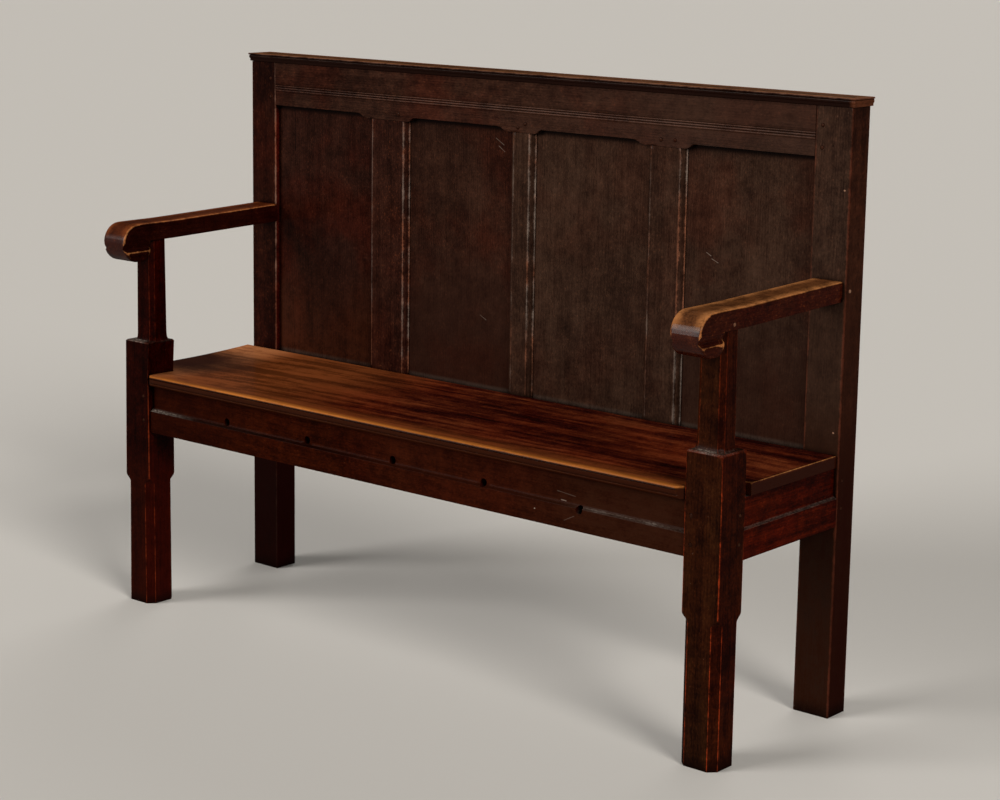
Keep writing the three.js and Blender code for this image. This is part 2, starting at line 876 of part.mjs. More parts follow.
// Batten that carries the back edge of the seat
function ledger() {
  const end = (place) => place.sideRailFace - railThickness - fit;
  return block(
    -end(left),
    end(right),
    backFrameSetback - fit - ledgerWidth,
    backFrameSetback - fit,
    seatRailTop - ledgerHeight,
    seatRailTop,
  );
}

// Seat plank

function seatBoard() {
  const front = -seatNosing;
  const back = backFrameSetback - fit;
  const radius = seatEdgeRadius;
  const moulding = seatEdgeShares.map(([inward, down]) => [
    front + inward * seatThickness,
    seatHeight - down * seatThickness,
  ]);
  const section = outline([
    [back, seatBottom],
    [back, seatHeight],
    ...arc(front + radius, seatHeight - radius, radius, Math.PI / 2, Math.PI, seatEdgeSteps),
    ...moulding,
  ]);
  let seat = alongX(section, -(stileOuter + seatProudLeft), stileOuter - seatShortRight);
  for (const { sign, seatNotchGap } of sides) {
    const notch = block(
      sign * (postInner - fit),
      sign * (stileOuter + seatProudLeft + overrun),
      front - overrun,
      postDepth + seatNotchGap,
      seatBottom - overrun,
      seatHeight + overrun,
    );
    const corner = outline([
      [sign * (postInner - seatNosingReturn), front - overrun],
      [sign * (postInner - seatNosingReturn), front],
      [sign * postInner, railFaceSetback],
      [sign * (postInner + overrun), railFaceSetback],
      [sign * (postInner + overrun), front - overrun],
    ]);
    seat = seat.subtract(notch).subtract(alongZ(corner, seatBottom - overrun, seatHeight + overrun));
  }
  return seat;
}

// Arms

const noseCentre = -armReach + noseRadius;

// Angle at which a circle about the middle of the nose meets the level of the arm's underside
function undersideAngle(radius) {
  return Math.PI - Math.asin((noseRadius - armThickness) / radius);
}

// Cross-section of an arm in (z, x), with worn upper edges
function armSection(place, rise) {
  const radius = armEdgeRounding;
  const top = place.armTop + rise;
  const bottom = place.armBottom + rise;
  return [
    [bottom, place.armInner],
    ...arc(top - radius, place.armInner + radius, radius, -Math.PI / 2, 0, armEdgeSteps),
    ...arc(top - radius, place.armOuter - radius, radius, 0, Math.PI / 2, armEdgeSteps),
    [bottom, place.armOuter],
  ].map(([z, x]) => [z, place.sign * x]);
}

// The arm behind its support, which climbs gently to the stile
function armBar(place) {
  const rings = [
    { at: supportMiddleY, points: armSection(place, 0) },
    { at: postDepth, points: armSection(place, 0) },
    { at: armBack, points: armSection(place, armRise) },
  ];
  return loftBack(place.sign > 0 ? rings : rings.reverse());
}

// The front of the arm: flat top and half-round nose, with the worn upper edges carried round it
function armNose(place) {
  const rings = [];
  for (let step = 0; step <= armEdgeSteps; step += 1) {
    const angle = (Math.PI / 2) * (step / armEdgeSteps);
    const inset = armEdgeRounding * (1 - Math.sin(angle));
    const x = place.armInner + armEdgeRounding * (1 - Math.cos(angle));
    rings.push({ at: place.sign * x, points: noseProfile(place, inset) });
  }
  for (let step = armEdgeSteps; step >= 0; step -= 1) {
    const angle = (Math.PI / 2) * (step / armEdgeSteps);
    const inset = armEdgeRounding * (1 - Math.sin(angle));
    const x = place.armOuter - armEdgeRounding * (1 - Math.cos(angle));
    rings.push({ at: place.sign * x, points: noseProfile(place, inset) });
  }
  return loftAcross(place.sign > 0 ? rings : rings.reverse());
}

// Side view of the front of the arm in (y, z)
function noseProfile(place, inset) {
  const radius = noseRadius - inset;
  return [
    [supportMiddleY, place.armBottom],
    [supportMiddleY, place.armTop - inset],
    ...arc(noseCentre, place.noseMiddle, radius, Math.PI / 2, undersideAngle(radius), noseSteps / 2),
  ];
}

// Side view of the scroll that hangs below the nose. Its upper end lies inside the arm.
function scrollProfile(place, inset) {
  const radius = noseRadius - inset;
  const foot = place.noseMiddle - radius;
  const heel = lobeHeelRadius - inset;
  return [
    [lobeBack - inset, place.armBottom + scrollRoot],
    [-armReach + inset + scrollRoot, place.armBottom + scrollRoot],
    ...arc(noseCentre, place.noseMiddle, radius, undersideAngle(radius), Math.PI * 1.5, noseSteps / 2),
    ...arc(lobeBack - inset - heel, foot + heel, heel, -Math.PI / 2, 0, heelSteps),
  ];
}

// Notch in one side of the scroll
function scrollNotch(place, side, outward) {
  const top = place.armBottom;
  const foot = top - lobeNotchHeight;
  const section = outline([
    [side, top],
    [side - outward * lobeNotchDepth, top - lobeNotchShare * lobeNotchHeight],
    [side, foot],
    [side + outward * overrun, foot],
    [side + outward * overrun, top],
  ]);
  return alongY(section, -armReach - overrun, lobeBack + overrun);
}

// The scroll, with small bevels on its edges and a notch in each side
function scroll(place) {
  const rings = [
    { at: place.armInner, inset: lobeEdge },
    { at: place.armInner + lobeEdge, inset: 0 },
    { at: place.armOuter - lobeEdge, inset: 0 },
    { at: place.armOuter, inset: lobeEdge },
  ].map(({ at, inset }) => ({ at: place.sign * at, points: scrollProfile(place, inset) }));
  return loftAcross(place.sign > 0 ? rings : rings.reverse())
    .subtract(scrollNotch(place, place.sign * place.armInner, -place.sign))
    .subtract(scrollNotch(place, place.sign * place.armOuter, place.sign));
}

function arm(place) {
  return armBar(place)
    .add(armNose(place))
    .add(scroll(place))
    .add(armTenon(place, 0))
    .subtract(supportTenon(place, fit));
}

// Pegs: each peg is also cut, with the clearance round it, from the pieces that it passes through

function pegShape(length, gap) {
  const radius = pegDiameter / 2 + gap;
  const chamfer = gap > 0 ? 0 : pegHeadChamfer;
  const profile = [
    [0, -gap],
    [radius - chamfer, -gap],
    [radius, chamfer - gap],
    [radius, length + gap - chamfer],
    [radius - chamfer, length + gap],
    [0, length + gap],
  ];
  const points = profile.map(([across, along]) => new THREE.Vector2(across, along));
  return new THREE.LatheGeometry(points, pegSides);
}

// A peg driven in from its head towards the back of the bench
function pegAlongY(x, head, z, length, gap) {
  const geometry = pegShape(length, gap);
  geometry.translate(x, head - pegProud, z);
  return solidOf(geometry);
}

// A peg driven in from its head towards the middle of the bench
function pegAlongX(sign, head, y, z, length, gap) {
  const geometry = pegShape(length, gap);
  geometry.rotateZ((sign * Math.PI) / 2);
  geometry.translate(sign * (head + pegProud), y, z);
  return solidOf(geometry);
}

// Height of a point at a share of the way up a tenon
const heightAt = (span, share) => span.bottom + (span.top - span.bottom) * share;

// The pegs of one side
function sidePegs(place) {
  const { side, sign, stileInner, blockOuter } = place;
  const stileName = `stile_${side}`;
  const postName = `front_post_${side}`;
  const throughStile = stileDepth + 2 * pegProud;
  const backX = sign * (stileInner + pegFromShoulder);
  const backY = backFrameSetback + pegFromShoulder;
  const pegs = topRailPegShares.map((share, index) => ({
    name: `peg_top_rail_${side}_${index + 1}`,
    through: [stileName, "top_rail"],
    make: (gap) => pegAlongY(backX, backFrameSetback, heightAt(topRailSpan, share), throughStile, gap),
  }));
  seatRailPegShares.forEach((share, index) => {
    const z = heightAt(seatRailSpan, share);
    const frontX = sign * (postInner + pegFromShoulder);
    const postFace = blockOuter + (postOuter - blockOuter) * (1 - z / blockTop);
    const sidePegEnd = place.railTenonEnd + mortiseWall / 2;
    const sidePegLength = (face) => face + pegProud - sidePegEnd;
    pegs.push({
      name: `peg_bottom_rail_${side}_${index + 1}`,
      through: [stileName, "bottom_rail"],
      make: (gap) => pegAlongY(backX, backFrameSetback + pegProud, z, stileDepth, gap),
    });
    pegs.push({
      name: `peg_front_rail_${side}_${index + 1}`,
      through: [postName, "front_seat_rail"],
      make: (gap) => pegAlongY(frontX, 0, z, blindPegLength, gap),
    });
    pegs.push({
      name: `peg_side_rail_${side}_front_${index + 1}`,
      through: [postName, `side_seat_rail_${side}`],
      make: (gap) =>
        pegAlongX(sign, postFace, postDepth - pegFromShoulder, z, sidePegLength(postFace), gap),
    });
    pegs.push({
      name: `peg_side_rail_${side}_back_${index + 1}`,
      through: [stileName, `side_seat_rail_${side}`],
      make: (gap) => pegAlongX(sign, stileOuter, backY, z, sidePegLength(stileOuter), gap),
    });
  });
  const frontPegHeight = place.armBottom + supportTenonHeight * armFrontPegShare;
  pegs.push({
    name: `peg_arm_${side}_back`,
    through: [stileName, `arm_${side}`],
    make: (gap) => pegAlongX(sign, stileOuter, backY, place.armBackMiddle, blindPegLength, gap),
  });
  pegs.push({
    name: `peg_arm_${side}_front`,
    through: [postName, `arm_${side}`],
    make: (gap) => pegAlongX(sign, place.armOuter, supportMiddleY, frontPegHeight, blindPegLength, gap),
  });
  return pegs;
}

// The pegs at the heads and the feet of the muntins
function muntinPegs() {
  const throughRail = railThickness + 2 * pegProud;
  const heads = muntinPegShares.map(({ muntin, across, up }, index) => {
    const x = muntins[muntin].middle + muntins[muntin].tenonHalf * across;
    const z = topRailLow + (muntinTenonTop - topRailLow) * up;
    return {
      name: `peg_muntin_top_${index + 1}`,
      through: ["top_rail", `muntin_${muntin + 1}`],
      make: (gap) => pegAlongY(x, backFrameSetback, z, throughRail, gap),
    };
  });
  const feet = muntins.map(({ middle }, index) => ({
    name: `peg_muntin_foot_${index + 1}`,
    through: ["bottom_rail", `muntin_${index + 1}`],
    make: (gap) =>
      pegAlongY(middle, backFrameSetback + pegProud, grooveFloor - muntinFootPegDepth, railThickness, gap),
  }));
  return [...heads, ...feet];
}

// Assembly

const finishes = {
  frame: new THREE.MeshStandardMaterial({ color: 0x3a1d14, roughness: 0.42, metalness: 0 }),
  panel: new THREE.MeshStandardMaterial({ color: 0x351a14, roughness: 0.48, metalness: 0 }),
  seat: new THREE.MeshStandardMaterial({ color: 0x5c2a14, roughness: 0.34, metalness: 0 }),
  arm: new THREE.MeshStandardMaterial({ color: 0x55260f, roughness: 0.3, metalness: 0 }),
  peg: new THREE.MeshStandardMaterial({ color: 0x4d3326, roughness: 0.5, metalness: 0 }),
};

function allPieces() {
  const pieces = new Map();
  const put = (name, finish, solid) => pieces.set(name, { finish, solid });
  for (const place of sides) {
    put(`stile_${place.side}`, "frame", stile(place));
    put(`front_post_${place.side}`, "frame", frontPost(place));
    put(`side_seat_rail_${place.side}`, "frame", sideRail(place));
    put(`arm_${place.side}`, "arm", arm(place));
  }
  put("cap", "frame", capPlank());
  put("top_rail", "frame", topRail());
  put("bottom_rail", "frame", bottomRail());
  put("front_seat_rail", "frame", frontRail());
  put("seat_ledger", "frame", ledger());
  put("seat_board", "seat", seatBoard());
  muntins.forEach((muntin, index) => put(`muntin_${index + 1}`, "frame", muntinSolid(muntin)));
  openings.forEach((opening, index) => put(`panel_${index + 1}`, "panel", panel(opening)));
  for (const peg of [...sidePegs(left), ...sidePegs(right), ...muntinPegs()]) {
    for (const name of peg.through) {
      const piece = pieces.get(name);
      piece.solid = piece.solid.subtract(peg.make(fit));
    }
    put(peg.name, "peg", peg.make(0));
  }
  return pieces;
}

// The group's origin is on the floor, under the middle of the whole bench
const leftmost = -Math.max(stileOuter + seatProudLeft, stileOuter + capOverhangEnd);
const rightmost = stileOuter + capOverhangEnd;
const bench = new THREE.Group();
bench.name = "settle_bench";
bench.position.set(-(leftmost + rightmost) / 2, -(stileBack + capOverhangBack - armReach) / 2, 0);
for (const [name, { finish, solid }] of allPieces()) {
  const mesh = new THREE.Mesh(geometryOf(solid), finishes[finish]);
  mesh.name = name;
  bench.add(mesh);
}

export default bench;
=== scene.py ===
import math
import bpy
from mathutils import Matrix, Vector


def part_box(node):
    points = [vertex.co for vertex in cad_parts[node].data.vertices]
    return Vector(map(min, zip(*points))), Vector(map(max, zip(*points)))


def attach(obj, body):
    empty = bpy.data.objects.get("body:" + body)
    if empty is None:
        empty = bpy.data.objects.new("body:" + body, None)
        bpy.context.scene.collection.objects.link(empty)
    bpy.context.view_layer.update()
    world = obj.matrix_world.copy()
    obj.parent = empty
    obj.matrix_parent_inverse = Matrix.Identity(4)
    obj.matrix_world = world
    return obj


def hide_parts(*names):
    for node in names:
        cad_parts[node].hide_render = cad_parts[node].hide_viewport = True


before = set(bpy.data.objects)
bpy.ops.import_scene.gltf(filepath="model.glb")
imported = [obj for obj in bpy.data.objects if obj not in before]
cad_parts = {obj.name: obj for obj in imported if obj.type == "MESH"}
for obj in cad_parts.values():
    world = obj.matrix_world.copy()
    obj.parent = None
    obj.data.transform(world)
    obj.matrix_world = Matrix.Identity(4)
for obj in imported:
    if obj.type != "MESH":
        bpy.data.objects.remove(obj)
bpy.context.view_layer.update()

from types import SimpleNamespace

import bmesh
import bpy
import numpy as np
from mathutils import Matrix, Vector, noise
from mathutils.bvhtree import BVHTree

# Lengths are in metres, angles in degrees, and colours are linear red, green and blue.
# The right end of the bench is towards +x, its back towards +y and its top towards +z.
AXES = {"x": 0, "y": 1, "z": 2}

# The camera stands in front of the bench and to its right, and looks slightly down.
CAMERA_PLACE = (2.75221, -3.15124, 1.39096)
CAMERA_YAW = 39.96
CAMERA_PITCH = 10.69
CAMERA_ROLL = 0.86
CAMERA_LENS = 83.63
CAMERA_SENSOR = 36
CAMERA_SHIFT = -0.06

# Points this close are one point, and faces this close in angle are one flat face.
SAME_POINT = 0.00002
FLAT_ANGLE = 0.6
# Faces that meet at less than this angle are shaded as one, larger faces counting for more.
SMOOTH_ANGLE = 34
SHADING_WEIGHT = 70

# Arrises are the edges that turn outward by more than this.
ARRIS_ANGLE = 28
# An arris is free where most of the places just outside it are near no other piece.
TOUCHING = 0.0012
SAMPLE_REACH = 0.0008
SAMPLE_SHARES = (0.1, 0.3, 0.5, 0.7, 0.9)
MOSTLY = 0.7
# Free arrises are eased to a round of this width and this many faces. An arris is left sharp where
# it isn't longer than EASE_LENGTH widths, or meets another kind of edge not longer than EASE_ROOM
# widths. Where it meets none, it has plenty of room.
EASE_WIDTH = 0.0016
EASE_STEPS = 3
EASE_ROUNDNESS = 0.5
EASE_LENGTH = 2
EASE_ROOM = 2.3
PLENTY_OF_ROOM = 1
# Arrises that look further down than this don't count as rubbed. Wood is never taken to be further
# than FAR from one, and the square of an arris's length never to be less than LEAST_SQUARE.
LOOKS_DOWN = -0.3
FAR = 0.05
LEAST_SQUARE = 1e-12

# The hand-worked surface: how far apart it has points along the grain and across it, how deep its
# broad and its fine unevenness go, how closely their hollows follow each other, and how far apart
# the unevenness of one seed is from that of the next.
LONG_STEP = 0.016
WIDE_STEP = 0.005
CUT_SNAP = 0.00001
BROAD_DEPTH = 0.0003
FINE_DEPTH = 0.00012
BROAD_SCALE = 7
FINE_SCALE = 34
UNEVEN_SHIFT = (3.7, 1.3, 2.1)

# Pegs are eased less than boards, and have only fine unevenness. Two of them are of paler wood.
PEG_EASE = 0.0006
PEG_DEPTH = 0.0001
PEG_SEED = 31
PALE_PEG_SEED = 32
PALE_PEGS = ("peg_arm_right_front", "peg_arm_right_back")

# How the seat has been sat out of true: how deep its top gives way, the depth and reach of the hollow
# at its left end, how far the front lip dips and wears back, and how that changes along it.
SEAT_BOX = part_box("seat_board")
SEAT_SKIN = 0.014
DISH = 0.005
DISH_REACH = 0.22
LIP_DIP = 0.0022
LIP_BACK = 0.0015
LIP_REACH = 0.05
LIP_TURNS = 7.5
LIP_START = 0.9

# Which axes run along the grain, across it and deep into the piece, and how far along the grain the
# wood of one seed is from that of the next.
GRAIN_ORDER = {"x": (0, 1, 2), "y": (1, 0, 2), "z": (2, 0, 1)}
SEED_STEP = 3.17

# Noises that follow the grain: how fine they are along it, across it and deep, their detail and
# their roughness. That of the streaks has its fineness from each piece.
BEND = ((1.7, 9, 9), 2, 0.5)
RING_WOBBLE = ((3, 30, 30), 3, 0.5)
STREAK = (6, 0.66)
FIBRE = ((18, 620, 620), 2, 0.6)
PORES = ((70, 1300, 1300), 1, 0.5)
CLOUD = ((3.2, 7, 7), 4, 0.6)
SPECK = ((190, 330, 330), 3, 0.7)
# Noises that are alike every way: their shift, how fine they are, their detail and roughness.
PATCH = ((4.1, 2.7, 9.3), 34, 7, 0.72)
REDNESS = ((7.7, 1.9, 3.3), 5, 5, 0.62)
# How far the grain bends, how many rings it wobbles, and how much the specks add to the figure and
# to the raggedness of borders.
BEND_WIDTH = 0.028
RING_WOBBLE_WIDTH = 1.6
SPECK_SHARE = 0.4
TORN_SPECK_SHARE = 0.5

# How much each noise adds to the figure of the wood.
PLAIN_FIGURE = dict(ring=0.05, streak=0.4, fibre=0.3, cloud=0.5, patch=0.6)
PANEL_FIGURE = dict(ring=0.04, streak=0.25, fibre=0.25, cloud=0.4, patch=0.6)
SEAT_FIGURE = dict(ring=0.2, streak=1.6, fibre=0.45, cloud=0.85, patch=0.6)
RAIL_FIGURE = dict(ring=0.05, streak=1.1, fibre=0.35, cloud=0.5, patch=0.6)
# Where in that figure each of the four tones of the grain lies.
GRAIN_PLACES = (0.22, 0.42, 0.6, 0.82)

# Each of these is the value at which a layer starts and at which it is full, and then its strength
# at the one and at the other. Where the strengths aren't here, they are the piece's, or 0 and 1.
RED_STAIN = (0.42, 0.62)
THIN_SPECKS = (0.55, 0.74)
THIN_PATCHES = (0.42, 0.66, 0.15, 1)
NICK_SPECKS = (0.73, 0.78, 0, 0.7)
NICK_PLACES = (0.5, 0.58)
OPEN_PORES = (0.37, 0.28)
CROWN_UP = (0.15, 0.75)
CROWN_FIGURE = (0.7, 1.1, 0.4, 1)
CROWN_OPEN = (0.45, 0.8)
FADE_FIGURE = (0.3, 0.6)
PAINTED_SIDE_FACING = (0.4, 0.8)
EDGE_PATCHES = (0.8, 1.15, 0.35, 1)
EDGE_UNDER = (-0.25, -0.03, 0.05, 1)
EDGE_SIDE = (0, 0.35, 0.3, 1)
EDGE_OPEN = (0.4, 0.75)
RUST_PLACES = (0.44, 0.54)
PAINTED_SHADE_CORNERS = (0.78, 0.34, 0, 0.9)
DUST_AND_SHEEN_UP = (0.25, 0.7)
DUST_AND_SHEEN_RUNS = (0.5, 0.6)
DUST_AND_SHEEN_SPECKS = (0.4, 0.6, 0.25, 1)
MARK_FRONT = (-0.3, -0.6)
NOSE_FRONT = (-0.3, -0.7)

# How ragged the borders of the layers are, as a share of their width.
CROWN_RAGGED = 0.5
FADE_RAGGED = 0.35
MARK_RAGGED = 2
# How high above its lowest place a crown is full, how much of a mark's width is full, and how strong
# the pores are.
CROWN_RISE = 0.008
MARK_CORE = 0.3
PORE_STRENGTH = 0.75
# Corners are found by what stands this close.
CORNER_REACH = 0.016
CORNER_SAMPLES = 6

# Tones that are the same on every piece. The first multiplies the others where the stain is redder.
REDDER = (1.1, 0.6, 0.5)
# The pale of dust and old wax on ledges, in part a painted sheen.
DUST_AND_SHEEN = (0.2, 0.165, 0.14)
PALE = (0.26, 0.2, 0.16)
BLACK = (0.002, 0.001, 0.001)
RAW = (0.3, 0.16, 0.1)
# Shares of other tones: rusty arrises of bare ones, pores and the painted shade in corners of the darkest
# grain.
RUST = (1, 0.4, 0.2)
PORE_SHADE = (0.3, 0.3, 0.3)
PAINTED_CORNER_SHADE_SHARE = (0.15, 0.15, 0.15)

# How much each layer adds to the roughness of the surface and to its height.
ROUGH_PATCH = 0.3
ROUGH_DUST_AND_SHEEN = 0.4
ROUGH_SHADED_CORNER = 0.3
ROUGH_EDGE = -0.1
ROUGH_STREAK = 0.16
HIGH_STREAK = 0.35
HIGH_FIBRE = 0.3
HIGH_PORE = -0.55
HIGH_PATCH = 0.5
BUMP_STRENGTH = 0.55
BUMP_HEIGHT = 0.0006
WAX_ROUGHNESS = 0.22

# The oak of a piece, where its own row says nothing else.
PLAIN_OAK = dict(
    # The figure, how fine its streaks are along the grain and across it, and rings in a metre.
    figure=PLAIN_FIGURE,
    streaks=(1.8, 60),
    rings=210,
    # Where the heart of the tree lies across the piece and deep, and how far it leans in a metre.
    pith=(0.11, 0.3),
    tilt=0.02,
    # Strength of the specks rubbed orange and of the redder stain.
    red=0.4,
    tint=0.55,
    # Strength of the bare wood at the arrises, in part a painted highlight, how far it reaches, how ragged
    # and how rusty it is.
    wear=0.6,
    reach=0.003,
    ragged=2.6,
    rust=0,
    # How that wear changes along an axis: the axis, two places on it and the shares there.
    worn=None,
    # Whether that wear and painted highlight is mostly on what looks to the right, and a tone that
    # multiplies such faces as painted light and shade.
    side=False,
    flank=None,
    # Strength of the dust and painted sheen on ledges, its least share, and how it grows away from a place
    # along x:
    # the place, the distances where it is least and where it is full, and its least share.
    ledge=0.2,
    even=0.06,
    ends=None,
    # What covers faces that look up: a tone, its reach from the arrises, its least and its most
    # strength, and its lowest place.
    crown=None,
    # Roughness of the wood, weight of its wax, and the weight on faces that look to the front.
    gloss=0.42,
    coat=0.04,
    nose=None,
    # Changes of tone along the axes, and single marks.
    fades=(),
    marks=(),
)

# Tones from the darkest grain to the lightest, then the thin places and the bare arrises, which are in
# part painted highlights.
THIN = (0.12, 0.03, 0.01)
WARM_THIN = (0.12, 0.038, 0.015)
BARE_AND_HIGHLIGHT = (0.3, 0.22, 0.18)
BACK_TONES = [
    (0.004, 0.0012, 0.0008), (0.012, 0.0037, 0.0023), (0.028, 0.009, 0.0055), (0.052, 0.02, 0.012),
    THIN, BARE_AND_HIGHLIGHT,
]
EDGE_TONES = [
    (0.003, 0.0008, 0.0005), (0.009, 0.0022, 0.0013), (0.022, 0.0055, 0.003), (0.045, 0.013, 0.007),
    THIN, (0.24, 0.13, 0.09),
]
MIDDLE_TONES = [
    (0.005, 0.0018, 0.0012), (0.0155, 0.0056, 0.0034), (0.033, 0.013, 0.0076), (0.06, 0.026, 0.016),
    THIN, BARE_AND_HIGHLIGHT,
]
TOP_RAIL_TONES = MIDDLE_TONES[:-1] + [(0.13, 0.06, 0.04)]
# Greyer tones, in part dust and in part a painted sheen.
DUST_AND_SHEEN_TONES = [
    (0.007, 0.0031, 0.0021), (0.022, 0.0098, 0.006), (0.042, 0.0205, 0.0125), (0.072, 0.037, 0.024),
    WARM_THIN, (0.3, 0.23, 0.19),
]
# Greyer still, in part a painted sheen.
STILE_TONES = [
    (0.006, 0.003, 0.002), (0.02, 0.01, 0.0065), (0.041, 0.0215, 0.0135), (0.072, 0.042, 0.03),
    WARM_THIN, (0.12, 0.03, 0.015),
]
LEG_TONES = [
    (0.0022, 0.0005, 0.0003), (0.0077, 0.002, 0.0007), (0.021, 0.0062, 0.0019), (0.042, 0.016, 0.0045),
    (0.1, 0.018, 0.005), (0.32, 0.036, 0.008),
]
DARK_LEG_TONES = [
    (0.001, 0.0001, 0.0001), (0.0045, 0.0004, 0.0001), (0.012, 0.0012, 0.0004), (0.03, 0.0035, 0.001),
    (0.08, 0.012, 0.004), (0.24, 0.033, 0.008),
]
RAIL_TONES = [
    (0.003, 0.0004, 0.0002), (0.012, 0.0018, 0.0005), (0.028, 0.0042, 0.001), (0.055, 0.0095, 0.0024),
    (0.12, 0.022, 0.005), (0.22, 0.035, 0.01),
]
SEAT_TONES = [
    (0.011, 0.0012, 0.0007), (0.033, 0.0038, 0.0017), (0.078, 0.013, 0.0043), (0.155, 0.034, 0.0105),
    (0.2, 0.05, 0.01), (0.5, 0.2, 0.06),
]
ARM_TONES = [
    (0.005, 0.0006, 0.0003), (0.018, 0.0026, 0.0011), (0.036, 0.006, 0.0023), (0.08, 0.02, 0.0065),
    (0.2, 0.05, 0.012), (0.46, 0.17, 0.055),
]
PEG_TONES = [
    (0.006, 0.002, 0.001), (0.014, 0.004, 0.002), (0.026, 0.009, 0.005), (0.05, 0.02, 0.012),
    (0.08, 0.025, 0.01), (0.1, 0.04, 0.02),
]
PALE_PEG_TONES = [
    (0.08, 0.04, 0.025), (0.14, 0.075, 0.045), (0.22, 0.13, 0.08), (0.3, 0.19, 0.12),
    (0.2, 0.1, 0.05), (0.3, 0.2, 0.14),
]

# Changes of tone along an axis: where each starts and is full, its tone and strength, and its least
# share on dark grain.
# A painted shadow: the heads of the panels darken under the top rail.
PANEL_HEAD_SHADOW = [("z", 0.964, 0.973, (0.003, 0.001, 0.0007), 0.85, 1)]
BACK_FOOT = PANEL_HEAD_SHADOW + [("z", 0.479, 0.471, (0.09, 0.066, 0.052), 0.4, 0.3)]
WARM_FOOT = [("z", 0.7, 0.5, (0.055, 0.013, 0.0045), 0.5, 0.3)] + BACK_FOOT
DIM_FOOT = [("z", 0.78, 0.56, (0.017, 0.0055, 0.0033), 0.6, 0.8)] + BACK_FOOT
LEG_FOOT = [("z", 0.03, 0.005, (0.003, 0.001, 0.0006), 0.7, 0.5)]
RED_SHIN = [("z", 0.34, 0.25, (0.022, 0.0028, 0.0008), 0.6, 0.4)] + LEG_FOOT
# The rear leg darkens towards its foot, in part a painted shade.
SHADED_REAR_FOOT = [("z", 0.47, 0.33, (0.006, 0.0006, 0.0003), 0.94, 0.45)] + LEG_FOOT
# The right stile darkens below the arm in a painted shadow, then grows redder lower down.
SHADED_AND_RED_REAR = [
    ("z", 0.85, 0.66, (0.024, 0.011, 0.0065), 0.55, 0.6),
    ("z", 0.6, 0.4, (0.014, 0.0028, 0.0007), 0.9, 0.45),
] + LEG_FOOT
TOP_RIGHT = [("x", -0.1, 0.5, (0.047, 0.023, 0.015), 0.5, 0.6)]
# Along the front rail: a painted shade darkens its left end under the seat, its middle is lighter and
# redder, and its right end greyer and darker.
RAIL_SHADE_AND_TONE = [
    ("x", -0.28, -0.55, (0.009, 0.0015, 0.0007), 0.55, 0.9),
    ("x", -0.2, 0.05, (0.044, 0.009, 0.0036), 0.42, 0.4),
    ("x", 0.22, 0.5, (0.019, 0.0082, 0.0042), 0.62, 0.3),
]
CAP_EDGE = [
    ("z", 1.0785, 1.0765, (0.0085, 0.003, 0.0019), 0.93, 1),
    ("x", 0.712, 0.722, (0.14, 0.04, 0.016), 0.6, 0.4),
]
# Along the seat: more golden to the left, and at the far left a painted light over the shadow of the left
# arm and post; golden towards the front lip, in part a painted highlight; darker below the top and at the
# right end.
SEAT_FADES = [
    ("x", -0.1, -0.5, (0.255, 0.068, 0.0165), 0.82, 0.42),
    ("x", -0.55, -0.66, (0.5, 0.185, 0.07), 0.8, 0.5),
    ("y", -0.118, -0.178, (0.22, 0.058, 0.014), 0.62, 0.6),
    ("y", -0.166, -0.182, (0.43, 0.14, 0.024), 0.92, 0.6),
    ("z", 0.4685, 0.4655, (0.02, 0.0035, 0.0012), 0.98, 1),
    ("x", 0.711, 0.715, (0.02, 0.0038, 0.0012), 0.72, 0.3),
]

# Single scratches, nicks and cracks on the fronts of pieces: x and z of both ends, how far each
# reaches to either side, its tone and its strength.
SCRATCH = 0.0009
MARKS = {
    "panel_1": [
        ((-0.5965, 0.9961), (-0.5955, 0.8865), 0.0012, BLACK, 0.9),
    ],
    "panel_2": [
        ((-0.0629, 0.9535), (-0.043, 0.9418), SCRATCH, PALE, 0.3),
        ((-0.0553, 0.939), (-0.0403, 0.9288), SCRATCH, PALE, 0.35),
        ((-0.0966, 0.6108), (-0.0814, 0.603), SCRATCH, PALE, 0.25),
    ],
    "panel_4": [
        ((0.4262, 0.7885), (0.436, 0.7833), SCRATCH, PALE, 0.5),
        ((0.4383, 0.7782), (0.4514, 0.7726), SCRATCH, PALE, 0.5),
    ],
    "front_seat_rail": [
        ((0.3805, 0.4137), (0.4194, 0.4101), SCRATCH, PALE, 0.14),
        ((0.3895, 0.3996), (0.4, 0.399), 0.0012, PALE, 0.5),
        ((0.4012, 0.3669), (0.4224, 0.3777), SCRATCH, PALE, 0.16),
        ((0.3365, 0.3761), (0.3373, 0.3761), 0.0016, PALE, 0.9),
    ],
    "stile_right": [
        ((0.7099, 0.9245), (0.7107, 0.9245), 0.0022, RAW, 0.9),
        ((0.7073, 0.5087), (0.7081, 0.5087), 0.002, RAW, 0.9),
    ],
}

# What pieces of one kind share. The posts are rubbed more below the seat than above it. The arms are
# rubbed as far back as the stiles, and what looks up on them only above ARM_TOP.
AT_SEAT = ("z", 0.468, 0.474)
ARM_TOP = 0.72
PANEL = dict(figure=PANEL_FIGURE, streaks=(2.4, 45), wear=0.2, red=0.5)
# The muntins' rubbed arrises are in large part painted highlights on the mouldings that look to the right.
MUNTIN = dict(wear=0.95, reach=0.0034, ragged=1.8, side=True, rust=0.85)
POST_OR_RAIL = dict(
    ledge=0.6, wear=0.5, reach=0.0011, red=0.3, fades=LEG_FOOT, flank=(1.3, 0.75, 0.65),
    worn=(*AT_SEAT, 1, 0.5),
)
ARM = dict(
    wear=0.9, reach=0.002, coat=0.06, nose=0.23, streaks=(2.4, 40), ledge=0, side=True, red=0.5,
    worn=("y", 0.164, 0.171, 1, 0),
)
PEG = dict(wear=0.2, reach=0.001, ledge=0)

